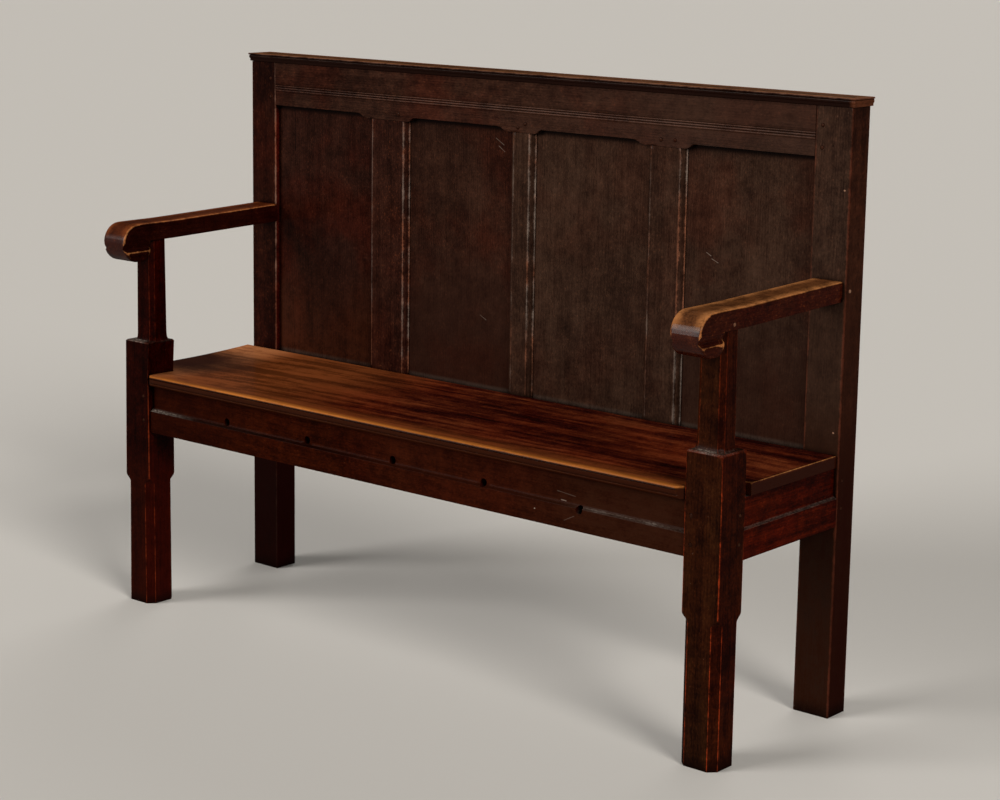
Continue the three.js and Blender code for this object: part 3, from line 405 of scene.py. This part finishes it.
# Each board: the axis of its grain, its tones, its seed and what sets its oak apart.
BOARDS = {
    "top_rail": ("x", TOP_RAIL_TONES, 1, dict(wear=0.35, ledge=0.05, tint=0.7, fades=TOP_RIGHT)),
    "bottom_rail": ("x", BACK_TONES, 2, {}),
    "cap": ("x", EDGE_TONES, 3, dict(
        wear=0.3, ledge=0.05, fades=CAP_EDGE, worn=("z", 1.076, 1.078, 0.2, 1),
        crown=((0.24, 0.095, 0.035), 0.02, 0.35, 0.8, 0),
    )),
    # Below the seat the stile darkens, in part a painted shade, and what looks to the right is painted
    # much lighter.
    "stile_left": ("z", EDGE_TONES, 4, dict(
        wear=0.8, reach=0.0022, side=True, rust=0.6, flank=(3.2, 1.3, 1.2),
        worn=("z", 0.42, 0.48, 0.12, 1), fades=SHADED_REAR_FOOT,
    )),
    "stile_right": ("z", STILE_TONES, 5, dict(
        wear=0.45, tint=0.2, fades=SHADED_AND_RED_REAR, flank=(0.85, 0.5, 0.38),
    )),
    "muntin_1": ("z", BACK_TONES, 6, dict(MUNTIN, red=0.9)),
    "muntin_2": ("z", DUST_AND_SHEEN_TONES, 7, dict(MUNTIN, tint=0.2)),
    "muntin_3": ("z", DUST_AND_SHEEN_TONES, 8, dict(MUNTIN, tint=0.3)),
    "panel_1": ("z", BACK_TONES, 9, dict(PANEL, fades=WARM_FOOT, tint=0.9)),
    "panel_2": ("z", MIDDLE_TONES, 10, dict(PANEL, fades=DIM_FOOT, tint=0.7)),
    "panel_3": ("z", DUST_AND_SHEEN_TONES, 11, dict(PANEL, fades=BACK_FOOT, tint=0.3)),
    "panel_4": ("z", DUST_AND_SHEEN_TONES, 12, dict(PANEL, fades=DIM_FOOT)),
    "front_post_left": ("z", DARK_LEG_TONES, 13, dict(
        POST_OR_RAIL, flank=(1.5, 1, 1), fades=RED_SHIN,
    )),
    "front_post_right": ("z", LEG_TONES, 14, dict(
        POST_OR_RAIL, wear=0.8, reach=0.0012, worn=(*AT_SEAT, 1, 0.3), tint=0.5,
    )),
    "side_seat_rail_left": ("y", RAIL_TONES, 15, POST_OR_RAIL),
    "side_seat_rail_right": ("y", RAIL_TONES, 16, dict(
        POST_OR_RAIL, figure=RAIL_FIGURE, fades=(), ledge=0.95, even=0.2, flank=(1.5, 0.9, 0.7),
    )),
    # The front rail's crown is a painted shade, near-black over what looks up under the seat.
    "front_seat_rail": ("x", RAIL_TONES, 17, dict(
        POST_OR_RAIL, wear=0.15, coat=0.015, ledge=0.7, even=0.2, ends=(-0.06, 0.44, 0.58, 0.03),
        fades=RAIL_SHADE_AND_TONE, crown=((0.004, 0.0009, 0.0005), 0.05, 0.95, 0.95, 0),
    )),
    "seat_ledger": ("x", LEG_TONES, 18, {}),
    "arm_left": ("y", ARM_TONES, 19, dict(
        ARM, flank=(0.5, 0.45, 0.6), crown=((0.2, 0.05, 0.013), 0.02, 0.2, 0.9, ARM_TOP),
    )),
    "arm_right": ("y", ARM_TONES, 20, dict(
        ARM, crown=((0.38, 0.15, 0.048), 0.02, 0.25, 0.9, ARM_TOP),
    )),
    "seat_board": ("x", SEAT_TONES, 21, dict(
        figure=SEAT_FIGURE, streaks=(2.8, 24), rings=60, pith=(0.02, 0.33), tilt=0.05, wear=0.9,
        tint=0.4, gloss=0.34, coat=0.08, ledge=0, reach=0.002, ragged=1.5,
        worn=("z", 0.467, 0.469, 0.03, 1), fades=SEAT_FADES,
    )),
}

FLOOR_REACH = 60
FLOOR_TONE = (0.68, 0.66, 0.63)
FLOOR_ROUGHNESS = 0.9
FLOOR_SHINE = 0.1

# Each lamp: the direction towards it, its strength, how wide it looks and its colour. A faint glow
# comes from all around.
COOLER_LIGHT = (1, 0.97, 0.93)
WARMER_LIGHT = (1, 0.96, 0.9)
LAMPS = {
    "key": ((-0.5, -0.76, 0.32), 2.3, 32, COOLER_LIGHT),
    "fill": ((0.86, -0.34, 0.5), 1.9, 22, WARMER_LIGHT),
    "rear": ((-0.3, 0.85, 0.5), 0.7, 40, COOLER_LIGHT),
}
GLOW_STRENGTH = 0.16


def camera():
    yaw = math.radians(CAMERA_YAW)
    pitch = math.radians(CAMERA_PITCH)
    roll = math.radians(CAMERA_ROLL)
    flat = math.cos(pitch)
    ahead = Vector((-math.sin(yaw) * flat, math.cos(yaw) * flat, -math.sin(pitch)))
    level = Vector((math.cos(yaw), math.sin(yaw), 0))
    upright = level.cross(ahead)
    right = level * math.cos(roll) + upright * math.sin(roll)
    up = upright * math.cos(roll) - level * math.sin(roll)
    data = bpy.data.cameras.new("camera")
    data.sensor_width = CAMERA_SENSOR
    data.lens = CAMERA_LENS
    data.shift_y = CAMERA_SHIFT
    made = bpy.data.objects.new("camera", data)
    turn = Matrix((right, up, -ahead)).transposed().to_4x4()
    made.matrix_world = Matrix.Translation(CAMERA_PLACE) @ turn
    bpy.context.scene.collection.objects.link(made)
    bpy.context.scene.camera = made


def all_faces():
    """Every face of the frame with its owner, so that an edge in a joint can be told from a free one."""
    points = []
    faces = []
    owners = []
    for name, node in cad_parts.items():
        start = len(points)
        points.extend(v.co.copy() for v in node.data.vertices)
        for face in node.data.polygons:
            faces.append([start + i for i in face.vertices])
            owners.append(name)
    return BVHTree.FromPolygons(points, faces), owners


FACES, OWNERS = all_faces()


def is_free(name, point):
    found = FACES.find_nearest_range(point, TOUCHING)
    return all(OWNERS[index] == name for _, _, index, _ in found)


def outward(edge):
    return sum((f.normal for f in edge.link_faces), Vector()).normalized()


def free_share(name, edge):
    first, second = (v.co for v in edge.verts)
    aside = outward(edge) * SAMPLE_REACH
    places = [first.lerp(second, share) + aside for share in SAMPLE_SHARES]
    return sum(is_free(name, p) for p in places) / len(places)


def room_at(edge, chosen):
    """The length of the shortest edge that meets this one and isn't chosen too."""
    lengths = []
    for vertex in edge.verts:
        for other in vertex.link_edges:
            if other is not edge and other not in chosen:
                lengths.append(other.calc_length())
    return min(lengths, default=PLENTY_OF_ROOM)


def free_arrises(bm, name):
    found = []
    for edge in bm.edges:
        if len(edge.link_faces) != 2 or not edge.is_convex:
            continue
        if edge.calc_face_angle(0) < math.radians(ARRIS_ANGLE):
            continue
        if free_share(name, edge) >= MOSTLY:
            found.append(edge)
    return found


def ease(bm, name, width):
    """Rounds the free arrises that have room for it, and gives back where the rubbed ones ran."""
    found = free_arrises(bm, name)
    lines = [[list(v.co) for v in edge.verts] for edge in found if outward(edge).z > LOOKS_DOWN]
    chosen = set(found)
    long_ones = [e for e in found if e.calc_length() > EASE_LENGTH * width]
    roomy = [e for e in long_ones if room_at(e, chosen) > EASE_ROOM * width]
    if roomy:
        bmesh.ops.bevel(
            bm, geom=roomy, offset=width, segments=EASE_STEPS, profile=EASE_ROUNDNESS,
            affect="EDGES", clamp_overlap=True, loop_slide=True,
        )
    bmesh.ops.remove_doubles(bm, verts=bm.verts, dist=SAME_POINT)
    return np.array(lines).reshape(-1, 2, 3)


def distances(points, lines):
    """How far each point is from the nearest line."""
    nearest = np.full(len(points), FAR)
    for first, second in lines:
        along = second - first
        share = np.clip((points - first) @ along / max(along @ along, LEAST_SQUARE), 0, 1)
        gap = np.linalg.norm(points - first - share[:, None] * along, axis=1)
        nearest = np.minimum(nearest, gap)
    return nearest


def slices(bm, axis, low, high, step):
    count = max(1, round((high - low) / step))
    normal = Vector((0, 0, 0))
    normal[axis] = 1
    for i in range(1, count):
        place = Vector((0, 0, 0))
        place[axis] = low + (high - low) * i / count
        everything = bm.verts[:] + bm.edges[:] + bm.faces[:]
        bmesh.ops.bisect_plane(bm, geom=everything, dist=CUT_SNAP, plane_co=place, plane_no=normal)


def steps_for(grain):
    """How far apart a piece is cut on each axis: further along its grain than across it."""
    return [LONG_STEP if axis == grain else WIDE_STEP for axis in AXES]


def unevenness(point, seed, broad, fine):
    shift = Vector([seed * step for step in UNEVEN_SHIFT])
    wide = noise.noise(point * BROAD_SCALE + shift)
    small = noise.noise(point * FINE_SCALE + shift)
    return broad * (0.5 + 0.5 * wide) + fine * (0.5 + 0.5 * small)


def no_sag(point):
    return Vector()


def seat_sag(point):
    """The seat is sat hollow at its left end, and its front lip dips and rises along its length."""
    low, high = SEAT_BOX
    top = max(0, (point.z - high.z + SEAT_SKIN) / SEAT_SKIN)
    middle = (point.y - low.y) / (high.y - low.y)
    dish = DISH * math.exp(-((point.x - low.x) / DISH_REACH) ** 2) * max(0, 4 * middle * (1 - middle))
    lip = math.exp(-(point.y - low.y) / LIP_REACH)
    wave = 0.5 + 0.5 * math.sin(LIP_TURNS * point.x + LIP_START)
    return Vector((0, LIP_BACK * lip * wave, -top * (dish + LIP_DIP * lip * wave)))


def work(name, seed, steps=(), width=EASE_WIDTH, broad=BROAD_DEPTH, fine=FINE_DEPTH,
         sag=no_sag, flats=True):
    """A worn copy of a node: eased arrises and a slightly uneven surface, all inside the node.

    With flats, its large faces keep an even shade up to their rounds.
    """
    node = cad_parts[name]
    bm = bmesh.new()
    bm.from_mesh(node.data)
    bmesh.ops.remove_doubles(bm, verts=bm.verts, dist=SAME_POINT)
    bmesh.ops.dissolve_limit(
        bm, angle_limit=math.radians(FLAT_ANGLE), use_dissolve_boundaries=False,
        verts=bm.verts, edges=bm.edges, delimit={"NORMAL"},
    )
    bm.normal_update()
    lines = ease(bm, name, width)
    low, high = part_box(name)
    for axis, step in enumerate(steps):
        slices(bm, axis, low[axis], high[axis], step)
    bm.normal_update()
    moves = [v.normal * -unevenness(v.co, seed, broad, fine) + sag(v.co) for v in bm.verts]
    for vertex, move in zip(bm.verts, moves):
        vertex.co += move
    many = [f for f in bm.faces if len(f.verts) > 4]
    bmesh.ops.triangulate(bm, faces=many)
    mesh = bpy.data.meshes.new(name + "_worn")
    bm.to_mesh(mesh)
    bm.free()
    for face in mesh.polygons:
        face.use_smooth = True
    mesh.set_sharp_from_angle(angle=math.radians(SMOOTH_ANGLE))
    points = np.array([v.co for v in mesh.vertices])
    mesh.attributes.new("arris", "FLOAT", "POINT").data.foreach_set("value", distances(points, lines))
    piece = bpy.data.objects.new(name + "_worn", mesh)
    bpy.context.scene.collection.objects.link(piece)
    if flats:
        shading = piece.modifiers.new("even_shading", "WEIGHTED_NORMAL")
        shading.keep_sharp = True
        shading.weight = SHADING_WEIGHT
    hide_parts(name)
    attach(piece, "root")
    return piece


def rgba(colour):
    return (*colour, 1)


def times(colour, shares):
    return [c * share for c, share in zip(colour, shares)]


class Shader:
    """One material's nodes. Most methods add nodes and give back an output."""

    def __init__(self, name):
        self.material = bpy.data.materials.new(name)
        self.material.use_nodes = True
        self.tree = self.material.node_tree
        self.tree.nodes.clear()

    def add(self, kind, **settings):
        made = self.tree.nodes.new(kind)
        for key, value in settings.items():
            setattr(made, key, value)
        return made

    def feed(self, socket, value):
        if isinstance(value, bpy.types.NodeSocket):
            self.tree.links.new(value, socket)
        elif value is not None:
            socket.default_value = value

    def math(self, operation, first, second=None, third=None, clamp=False):
        made = self.add("ShaderNodeMath", operation=operation, use_clamp=clamp)
        for socket, value in zip(made.inputs, (first, second, third)):
            self.feed(socket, value)
        return made.outputs[0]

    def plus(self, base, value, share, clamp=False):
        """The base and a share of the value."""
        return self.math("MULTIPLY_ADD", value, share, base, clamp)

    def centred(self, value):
        return self.math("SUBTRACT", value, 0.5)

    def masked(self, share, *masks):
        for mask in masks:
            share = self.math("MULTIPLY", share, mask)
        return share

    def vector(self, operation, first, second=None, scale=None):
        made = self.add("ShaderNodeVectorMath", operation=operation)
        self.feed(made.inputs[0], first)
        self.feed(made.inputs[1], second)
        if scale is not None:
            self.feed(made.inputs["Scale"], scale)
        return made.outputs["Value"] if operation in ("LENGTH", "DOT_PRODUCT") else made.outputs[0]

    def joined(self, *values):
        made = self.add("ShaderNodeCombineXYZ")
        for socket, value in zip(made.inputs, values):
            self.feed(socket, value)
        return made.outputs[0]

    def split(self, value):
        made = self.add("ShaderNodeSeparateXYZ")
        self.feed(made.inputs[0], value)
        return made.outputs

    def noise(self, place, scale, detail, roughness):
        made = self.add("ShaderNodeTexNoise")
        self.feed(made.inputs["Vector"], place)
        made.inputs["Scale"].default_value = scale
        made.inputs["Detail"].default_value = detail
        made.inputs["Roughness"].default_value = roughness
        return made.outputs["Fac"]

    def grained(self, place, scales, detail, roughness):
        return self.noise(self.vector("MULTIPLY", place, scales), 1, detail, roughness)

    def patchy(self, place, shift, scale, detail, roughness):
        return self.noise(self.vector("ADD", place, shift), scale, detail, roughness)

    def span(self, value, low, high, first=0, last=1):
        """The value's place between low and high, smoothly and clamped, turned into first to last."""
        made = self.add("ShaderNodeMapRange", interpolation_type="SMOOTHSTEP")
        self.feed(made.inputs["Value"], value)
        self.feed(made.inputs["From Min"], low)
        self.feed(made.inputs["From Max"], high)
        self.feed(made.inputs["To Min"], first)
        self.feed(made.inputs["To Max"], last)
        return made.outputs["Result"]

    def blend(self, share, first, second, kind="MIX"):
        """A share of the second colour in the first. Sockets for other values come before the colours'."""
        made = self.add("ShaderNodeMix", data_type="RGBA", blend_type=kind)
        self.feed(made.inputs[0], share)
        self.feed(made.inputs[6], first)
        self.feed(made.inputs[7], second)
        return made.outputs[2]

    def ramp(self, value, places, tones):
        made = self.add("ShaderNodeValToRGB")
        elements = made.color_ramp.elements
        while len(elements) < len(tones):
            elements.new(0.5)
        for element, place, tone in zip(elements, places, tones):
            element.position = place
            element.color = rgba(tone)
        self.feed(made.inputs[0], value)
        return made.outputs[0]

    def finish(self, surface):
        output = self.add("ShaderNodeOutputMaterial")
        self.feed(output.inputs[0], surface.outputs[0])


class Oak(Shader):
    """Dark waxed oak whose grain runs along one axis of the bench, laid on in layers."""

    def __init__(self, name, grain, tones, seed, **look):
        super().__init__(name)
        *self.grain_tones, self.thin, self.bare_and_highlight = tones
        self.look = SimpleNamespace(**{**PLAIN_OAK, **look})
        self.place = self.add("ShaderNodeTexCoord").outputs["Object"]
        self.at = self.split(self.place)
        self.facing = self.split(self.add("ShaderNodeNewGeometry").outputs["Normal"])
        self.grow(grain, seed)
        self.find_edges_and_corners()
        self.stain()
        self.fade()
        self.rub_and_highlight_arrises()
        self.lay_dust_and_sheen()
        self.scratch()
        self.wax()

    def cover(self, share, tone, kind="MIX"):
        """Lays one more tone over the colour so far."""
        self.colour = self.blend(share, self.colour, tone, kind)

    def grow(self, grain, seed):
        """The noises of the wood, and its figure, which is all of them together."""
        look = self.look
        run, straight, deep = (self.at[i] for i in GRAIN_ORDER[grain])
        run = self.math("ADD", run, seed * SEED_STEP)
        wood = self.joined(run, straight, deep)
        bend = self.centred(self.grained(wood, *BEND))
        across = self.math("ADD", straight, self.math("MULTIPLY", bend, BEND_WIDTH))
        grainy = self.joined(run, across, deep)

        # Growth rings go round a heart that leans along the board, and each goes from dark to light
        # and back.
        heart = self.math("MULTIPLY_ADD", run, look.tilt, look.pith[0] - look.tilt * seed * SEED_STEP)
        aside = self.math("SUBTRACT", across, heart)
        below = self.math("SUBTRACT", deep, look.pith[1])
        radius = self.vector("LENGTH", self.joined(aside, below))
        wobble = self.math("MULTIPLY", self.grained(grainy, *RING_WOBBLE), RING_WOBBLE_WIDTH)
        turns = self.math("MULTIPLY_ADD", radius, look.rings, wobble)
        ring = self.math("MULTIPLY", self.math("PINGPONG", turns, 0.5), 2)

        fine_along, fine_across = look.streaks
        self.streak = self.grained(grainy, (fine_along, fine_across, fine_across), *STREAK)
        self.fibre = self.grained(grainy, *FIBRE)
        self.open_pore = self.span(self.grained(grainy, *PORES), *OPEN_PORES)
        self.cloud = self.grained(wood, *CLOUD)
        self.speck = self.grained(wood, *SPECK)
        self.patch = self.patchy(wood, *PATCH)
        self.redness = self.patchy(wood, *REDNESS)

        layers = dict(ring=ring, streak=self.streak, fibre=self.fibre, cloud=self.cloud, patch=self.patch)
        figure = 0.5 - 0.5 * sum(look.figure.values())
        for key, share in look.figure.items():
            figure = self.plus(figure, layers[key], share)
        self.figure = self.plus(figure, self.centred(self.speck), SPECK_SHARE)

    def find_edges_and_corners(self):
        """How far the nearest arris is, how ragged borders are, and how open to the air a place is."""
        self.gap = self.add("ShaderNodeAttribute", attribute_name="arris").outputs["Fac"]
        self.torn = self.plus(self.centred(self.patch), self.centred(self.speck), TORN_SPECK_SHARE)
        corners = self.add("ShaderNodeAmbientOcclusion", samples=CORNER_SAMPLES)
        corners.inputs["Distance"].default_value = CORNER_REACH
        self.open = corners.outputs["AO"]

    def stain(self):
        """The tones of the grain, redder in some places, with specks rubbed thin, nicks and pores."""
        look = self.look
        darkest = self.grain_tones[0]
        self.colour = self.ramp(self.figure, GRAIN_PLACES, self.grain_tones)
        self.cover(self.span(self.redness, *RED_STAIN, 0, look.tint), rgba(REDDER), "MULTIPLY")
        thin = self.span(self.speck, *THIN_SPECKS, 0, look.red)
        self.cover(self.masked(thin, self.span(self.patch, *THIN_PATCHES)), rgba(self.thin))
        nick = self.span(self.speck, *NICK_SPECKS)
        self.cover(self.masked(nick, self.span(self.redness, *NICK_PLACES)), rgba(PALE))
        self.cover(self.masked(self.open_pore, PORE_STRENGTH), rgba(times(darkest, PORE_SHADE)))

    def fade(self):
        """Covers what looks up, most of all near its arrises, changes the tone along the axes, and paints
        light and shade on what looks to the right.
        """
        look = self.look
        if look.crown:
            tone, far, least, most, lowest = look.crown
            rubbed = self.masked(
                self.span(self.plus(self.gap, self.torn, -CROWN_RAGGED * far), far, 0, least, most),
                self.span(self.facing[2], *CROWN_UP),
                self.span(self.math("ADD", self.figure, self.patch), *CROWN_FIGURE),
                self.span(self.open, *CROWN_OPEN),
                self.span(self.at[2], lowest, lowest + CROWN_RISE),
            )
            self.cover(rubbed, rgba(tone))
        for axis, none, full, tone, strength, least in look.fades:
            ragged = FADE_RAGGED * abs(full - none)
            reached = self.plus(self.at[AXES[axis]], self.centred(self.patch), ragged)
            near = self.masked(
                self.span(reached, none, full, 0, strength),
                self.span(self.figure, *FADE_FIGURE, least, 1),
            )
            self.cover(near, rgba(tone))
        # Painted light and shade: what looks to the right is multiplied by a tone.
        if look.flank:
            self.cover(self.span(self.facing[0], *PAINTED_SIDE_FACING), rgba(look.flank), "MULTIPLY")

    def rub_and_highlight_arrises(self):
        """Arrises rub through to bare, polished wood, in part painted highlights, and corners between
        pieces get a painted shade.
        """
        look = self.look
        ragged = look.ragged * look.reach
        masks = [
            self.span(self.math("ADD", self.patch, self.cloud), *EDGE_PATCHES),
            self.span(self.facing[2], *EDGE_UNDER),
        ]
        if look.worn:
            axis, low, high, first, last = look.worn
            masks.append(self.span(self.at[AXES[axis]], low, high, first, last))
        if look.side:
            masks.append(self.span(self.facing[0], *EDGE_SIDE))
        masks.append(self.span(self.open, *EDGE_OPEN, 0, look.wear))
        self.edge = self.masked(self.span(self.plus(self.gap, self.torn, -ragged), look.reach, 0), *masks)
        rusty = self.span(self.redness, *RUST_PLACES, 0, look.rust)
        self.cover(self.edge, self.blend(rusty, rgba(self.bare_and_highlight), rgba(times(self.bare_and_highlight, RUST))))
        # Painted shade: places closed in by nearby wood turn towards the darkest grain, as corners and
        # crevices in shade do.
        self.painted_corner_shade = self.span(self.open, *PAINTED_SHADE_CORNERS)
        self.cover(self.painted_corner_shade, rgba(times(self.grain_tones[0], PAINTED_CORNER_SHADE_SHARE)))

    def lay_dust_and_sheen(self):
        """Dust and old wax, in part a painted sheen, lie in broken runs on the ledges."""
        look = self.look
        self.dust_and_sheen = self.masked(
            self.span(self.facing[2], *DUST_AND_SHEEN_UP, 0, look.ledge),
            self.span(self.cloud, *DUST_AND_SHEEN_RUNS, look.even, 1),
            self.span(self.speck, *DUST_AND_SHEEN_SPECKS),
        )
        if look.ends:
            middle, none, full, least = look.ends
            out = self.math("ABSOLUTE", self.math("SUBTRACT", self.at[0], middle))
            self.dust_and_sheen = self.masked(self.dust_and_sheen, self.span(out, none, full, least, 1))
        self.cover(self.dust_and_sheen, rgba(DUST_AND_SHEEN))

    def scratch(self):
        """Single marks with ragged sides, on what looks to the front."""
        for first, last, width, tone, strength in self.look.marks:
            start = Vector((first[0], 0, first[1]))
            along = Vector((last[0], 0, last[1])) - start
            from_start = self.vector("MULTIPLY", self.vector("SUBTRACT", self.place, start), (1, 0, 1))
            share = self.vector("DOT_PRODUCT", from_start, along / along.length_squared)
            share = self.math("MINIMUM", self.math("MAXIMUM", share, 0), 1)
            nearest = self.vector("SCALE", along, scale=share)
            miss = self.vector("LENGTH", self.vector("SUBTRACT", from_start, nearest))
            torn = self.plus(miss, self.torn, MARK_RAGGED * width)
            hit = self.span(torn, width, MARK_CORE * width, 0, strength)
            self.cover(self.masked(hit, self.span(self.facing[1], *MARK_FRONT)), rgba(tone))

    def wax(self):
        """The finished surface, whose only gloss is its wax."""
        look = self.look
        rough = self.plus(look.gloss, self.centred(self.patch), ROUGH_PATCH)
        rough = self.plus(rough, self.dust_and_sheen, ROUGH_DUST_AND_SHEEN)
        rough = self.plus(rough, self.painted_corner_shade, ROUGH_SHADED_CORNER)
        rough = self.plus(rough, self.edge, ROUGH_EDGE)
        rough = self.plus(rough, self.centred(self.streak), ROUGH_STREAK, clamp=True)
        height = self.math("MULTIPLY", self.streak, HIGH_STREAK)
        height = self.plus(height, self.fibre, HIGH_FIBRE)
        height = self.plus(height, self.open_pore, HIGH_PORE)
        height = self.plus(height, self.patch, HIGH_PATCH)
        bump = self.add("ShaderNodeBump")
        bump.inputs["Strength"].default_value = BUMP_STRENGTH
        bump.inputs["Distance"].default_value = BUMP_HEIGHT
        self.feed(bump.inputs["Height"], height)
        surface = self.add("ShaderNodeBsdfPrincipled")
        self.feed(surface.inputs["Base Color"], self.colour)
        self.feed(surface.inputs["Roughness"], rough)
        self.feed(surface.inputs["Normal"], bump.outputs[0])
        surface.inputs["Specular IOR Level"].default_value = 0
        surface.inputs["Coat Weight"].default_value = look.coat
        surface.inputs["Coat Roughness"].default_value = WAX_ROUGHNESS
        if look.nose:
            polish = self.span(self.facing[1], *NOSE_FRONT, look.coat, look.nose)
            self.feed(surface.inputs["Coat Weight"], polish)
        self.finish(surface)


def dress(piece, oak):
    piece.data.materials.append(oak.material)


def furnish():
    for name, (grain, tones, seed, look) in BOARDS.items():
        sag = seat_sag if name == "seat_board" else no_sag
        piece = work(name, seed, steps=steps_for(grain), sag=sag, flats=not name.startswith("arm"))
        dress(piece, Oak(name + "_oak", grain, tones, seed, marks=MARKS.get(name, ()), **look))
    oak = Oak("peg_oak", "y", PEG_TONES, PEG_SEED, **PEG)
    pale_oak = Oak("peg_pale_oak", "y", PALE_PEG_TONES, PALE_PEG_SEED, **PEG)
    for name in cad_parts:
        if name.startswith("peg_"):
            piece = work(name, PEG_SEED, width=PEG_EASE, broad=0, fine=PEG_DEPTH)
            dress(piece, pale_oak if name in PALE_PEGS else oak)


def floor():
    corners = [(x * FLOOR_REACH, y * FLOOR_REACH, 0) for x, y in ((-1, -1), (1, -1), (1, 1), (-1, 1))]
    mesh = bpy.data.meshes.new("floor")
    mesh.from_pydata(corners, [], [(0, 1, 2, 3)])
    made = bpy.data.objects.new("floor", mesh)
    bpy.context.scene.collection.objects.link(made)
    paint = Shader("floor_pale")
    surface = paint.add("ShaderNodeBsdfPrincipled")
    surface.inputs["Base Color"].default_value = rgba(FLOOR_TONE)
    surface.inputs["Roughness"].default_value = FLOOR_ROUGHNESS
    surface.inputs["Specular IOR Level"].default_value = FLOOR_SHINE
    paint.finish(surface)
    mesh.materials.append(paint.material)


def lamp(name, toward, strength, spread, colour):
    """A far, broad lamp whose light comes from the direction given."""
    data = bpy.data.lights.new(name, "SUN")
    data.energy = strength
    data.angle = math.radians(spread)
    data.color = colour
    made = bpy.data.objects.new(name, data)
    made.rotation_mode = "QUATERNION"
    made.rotation_quaternion = (-Vector(toward)).to_track_quat("-Z", "Y")
    bpy.context.scene.collection.objects.link(made)


def light():
    for name, settings in LAMPS.items():
        lamp(name, *settings)
    world = bpy.data.worlds.new("world")
    world.use_nodes = True
    bpy.context.scene.world = world
    glow = world.node_tree.nodes["Background"]
    glow.inputs[0].default_value = rgba(WARMER_LIGHT)
    glow.inputs[1].default_value = GLOW_STRENGTH


camera()
furnish()
floor()
light()
bpy.context.scene.view_settings.view_transform = "Standard"
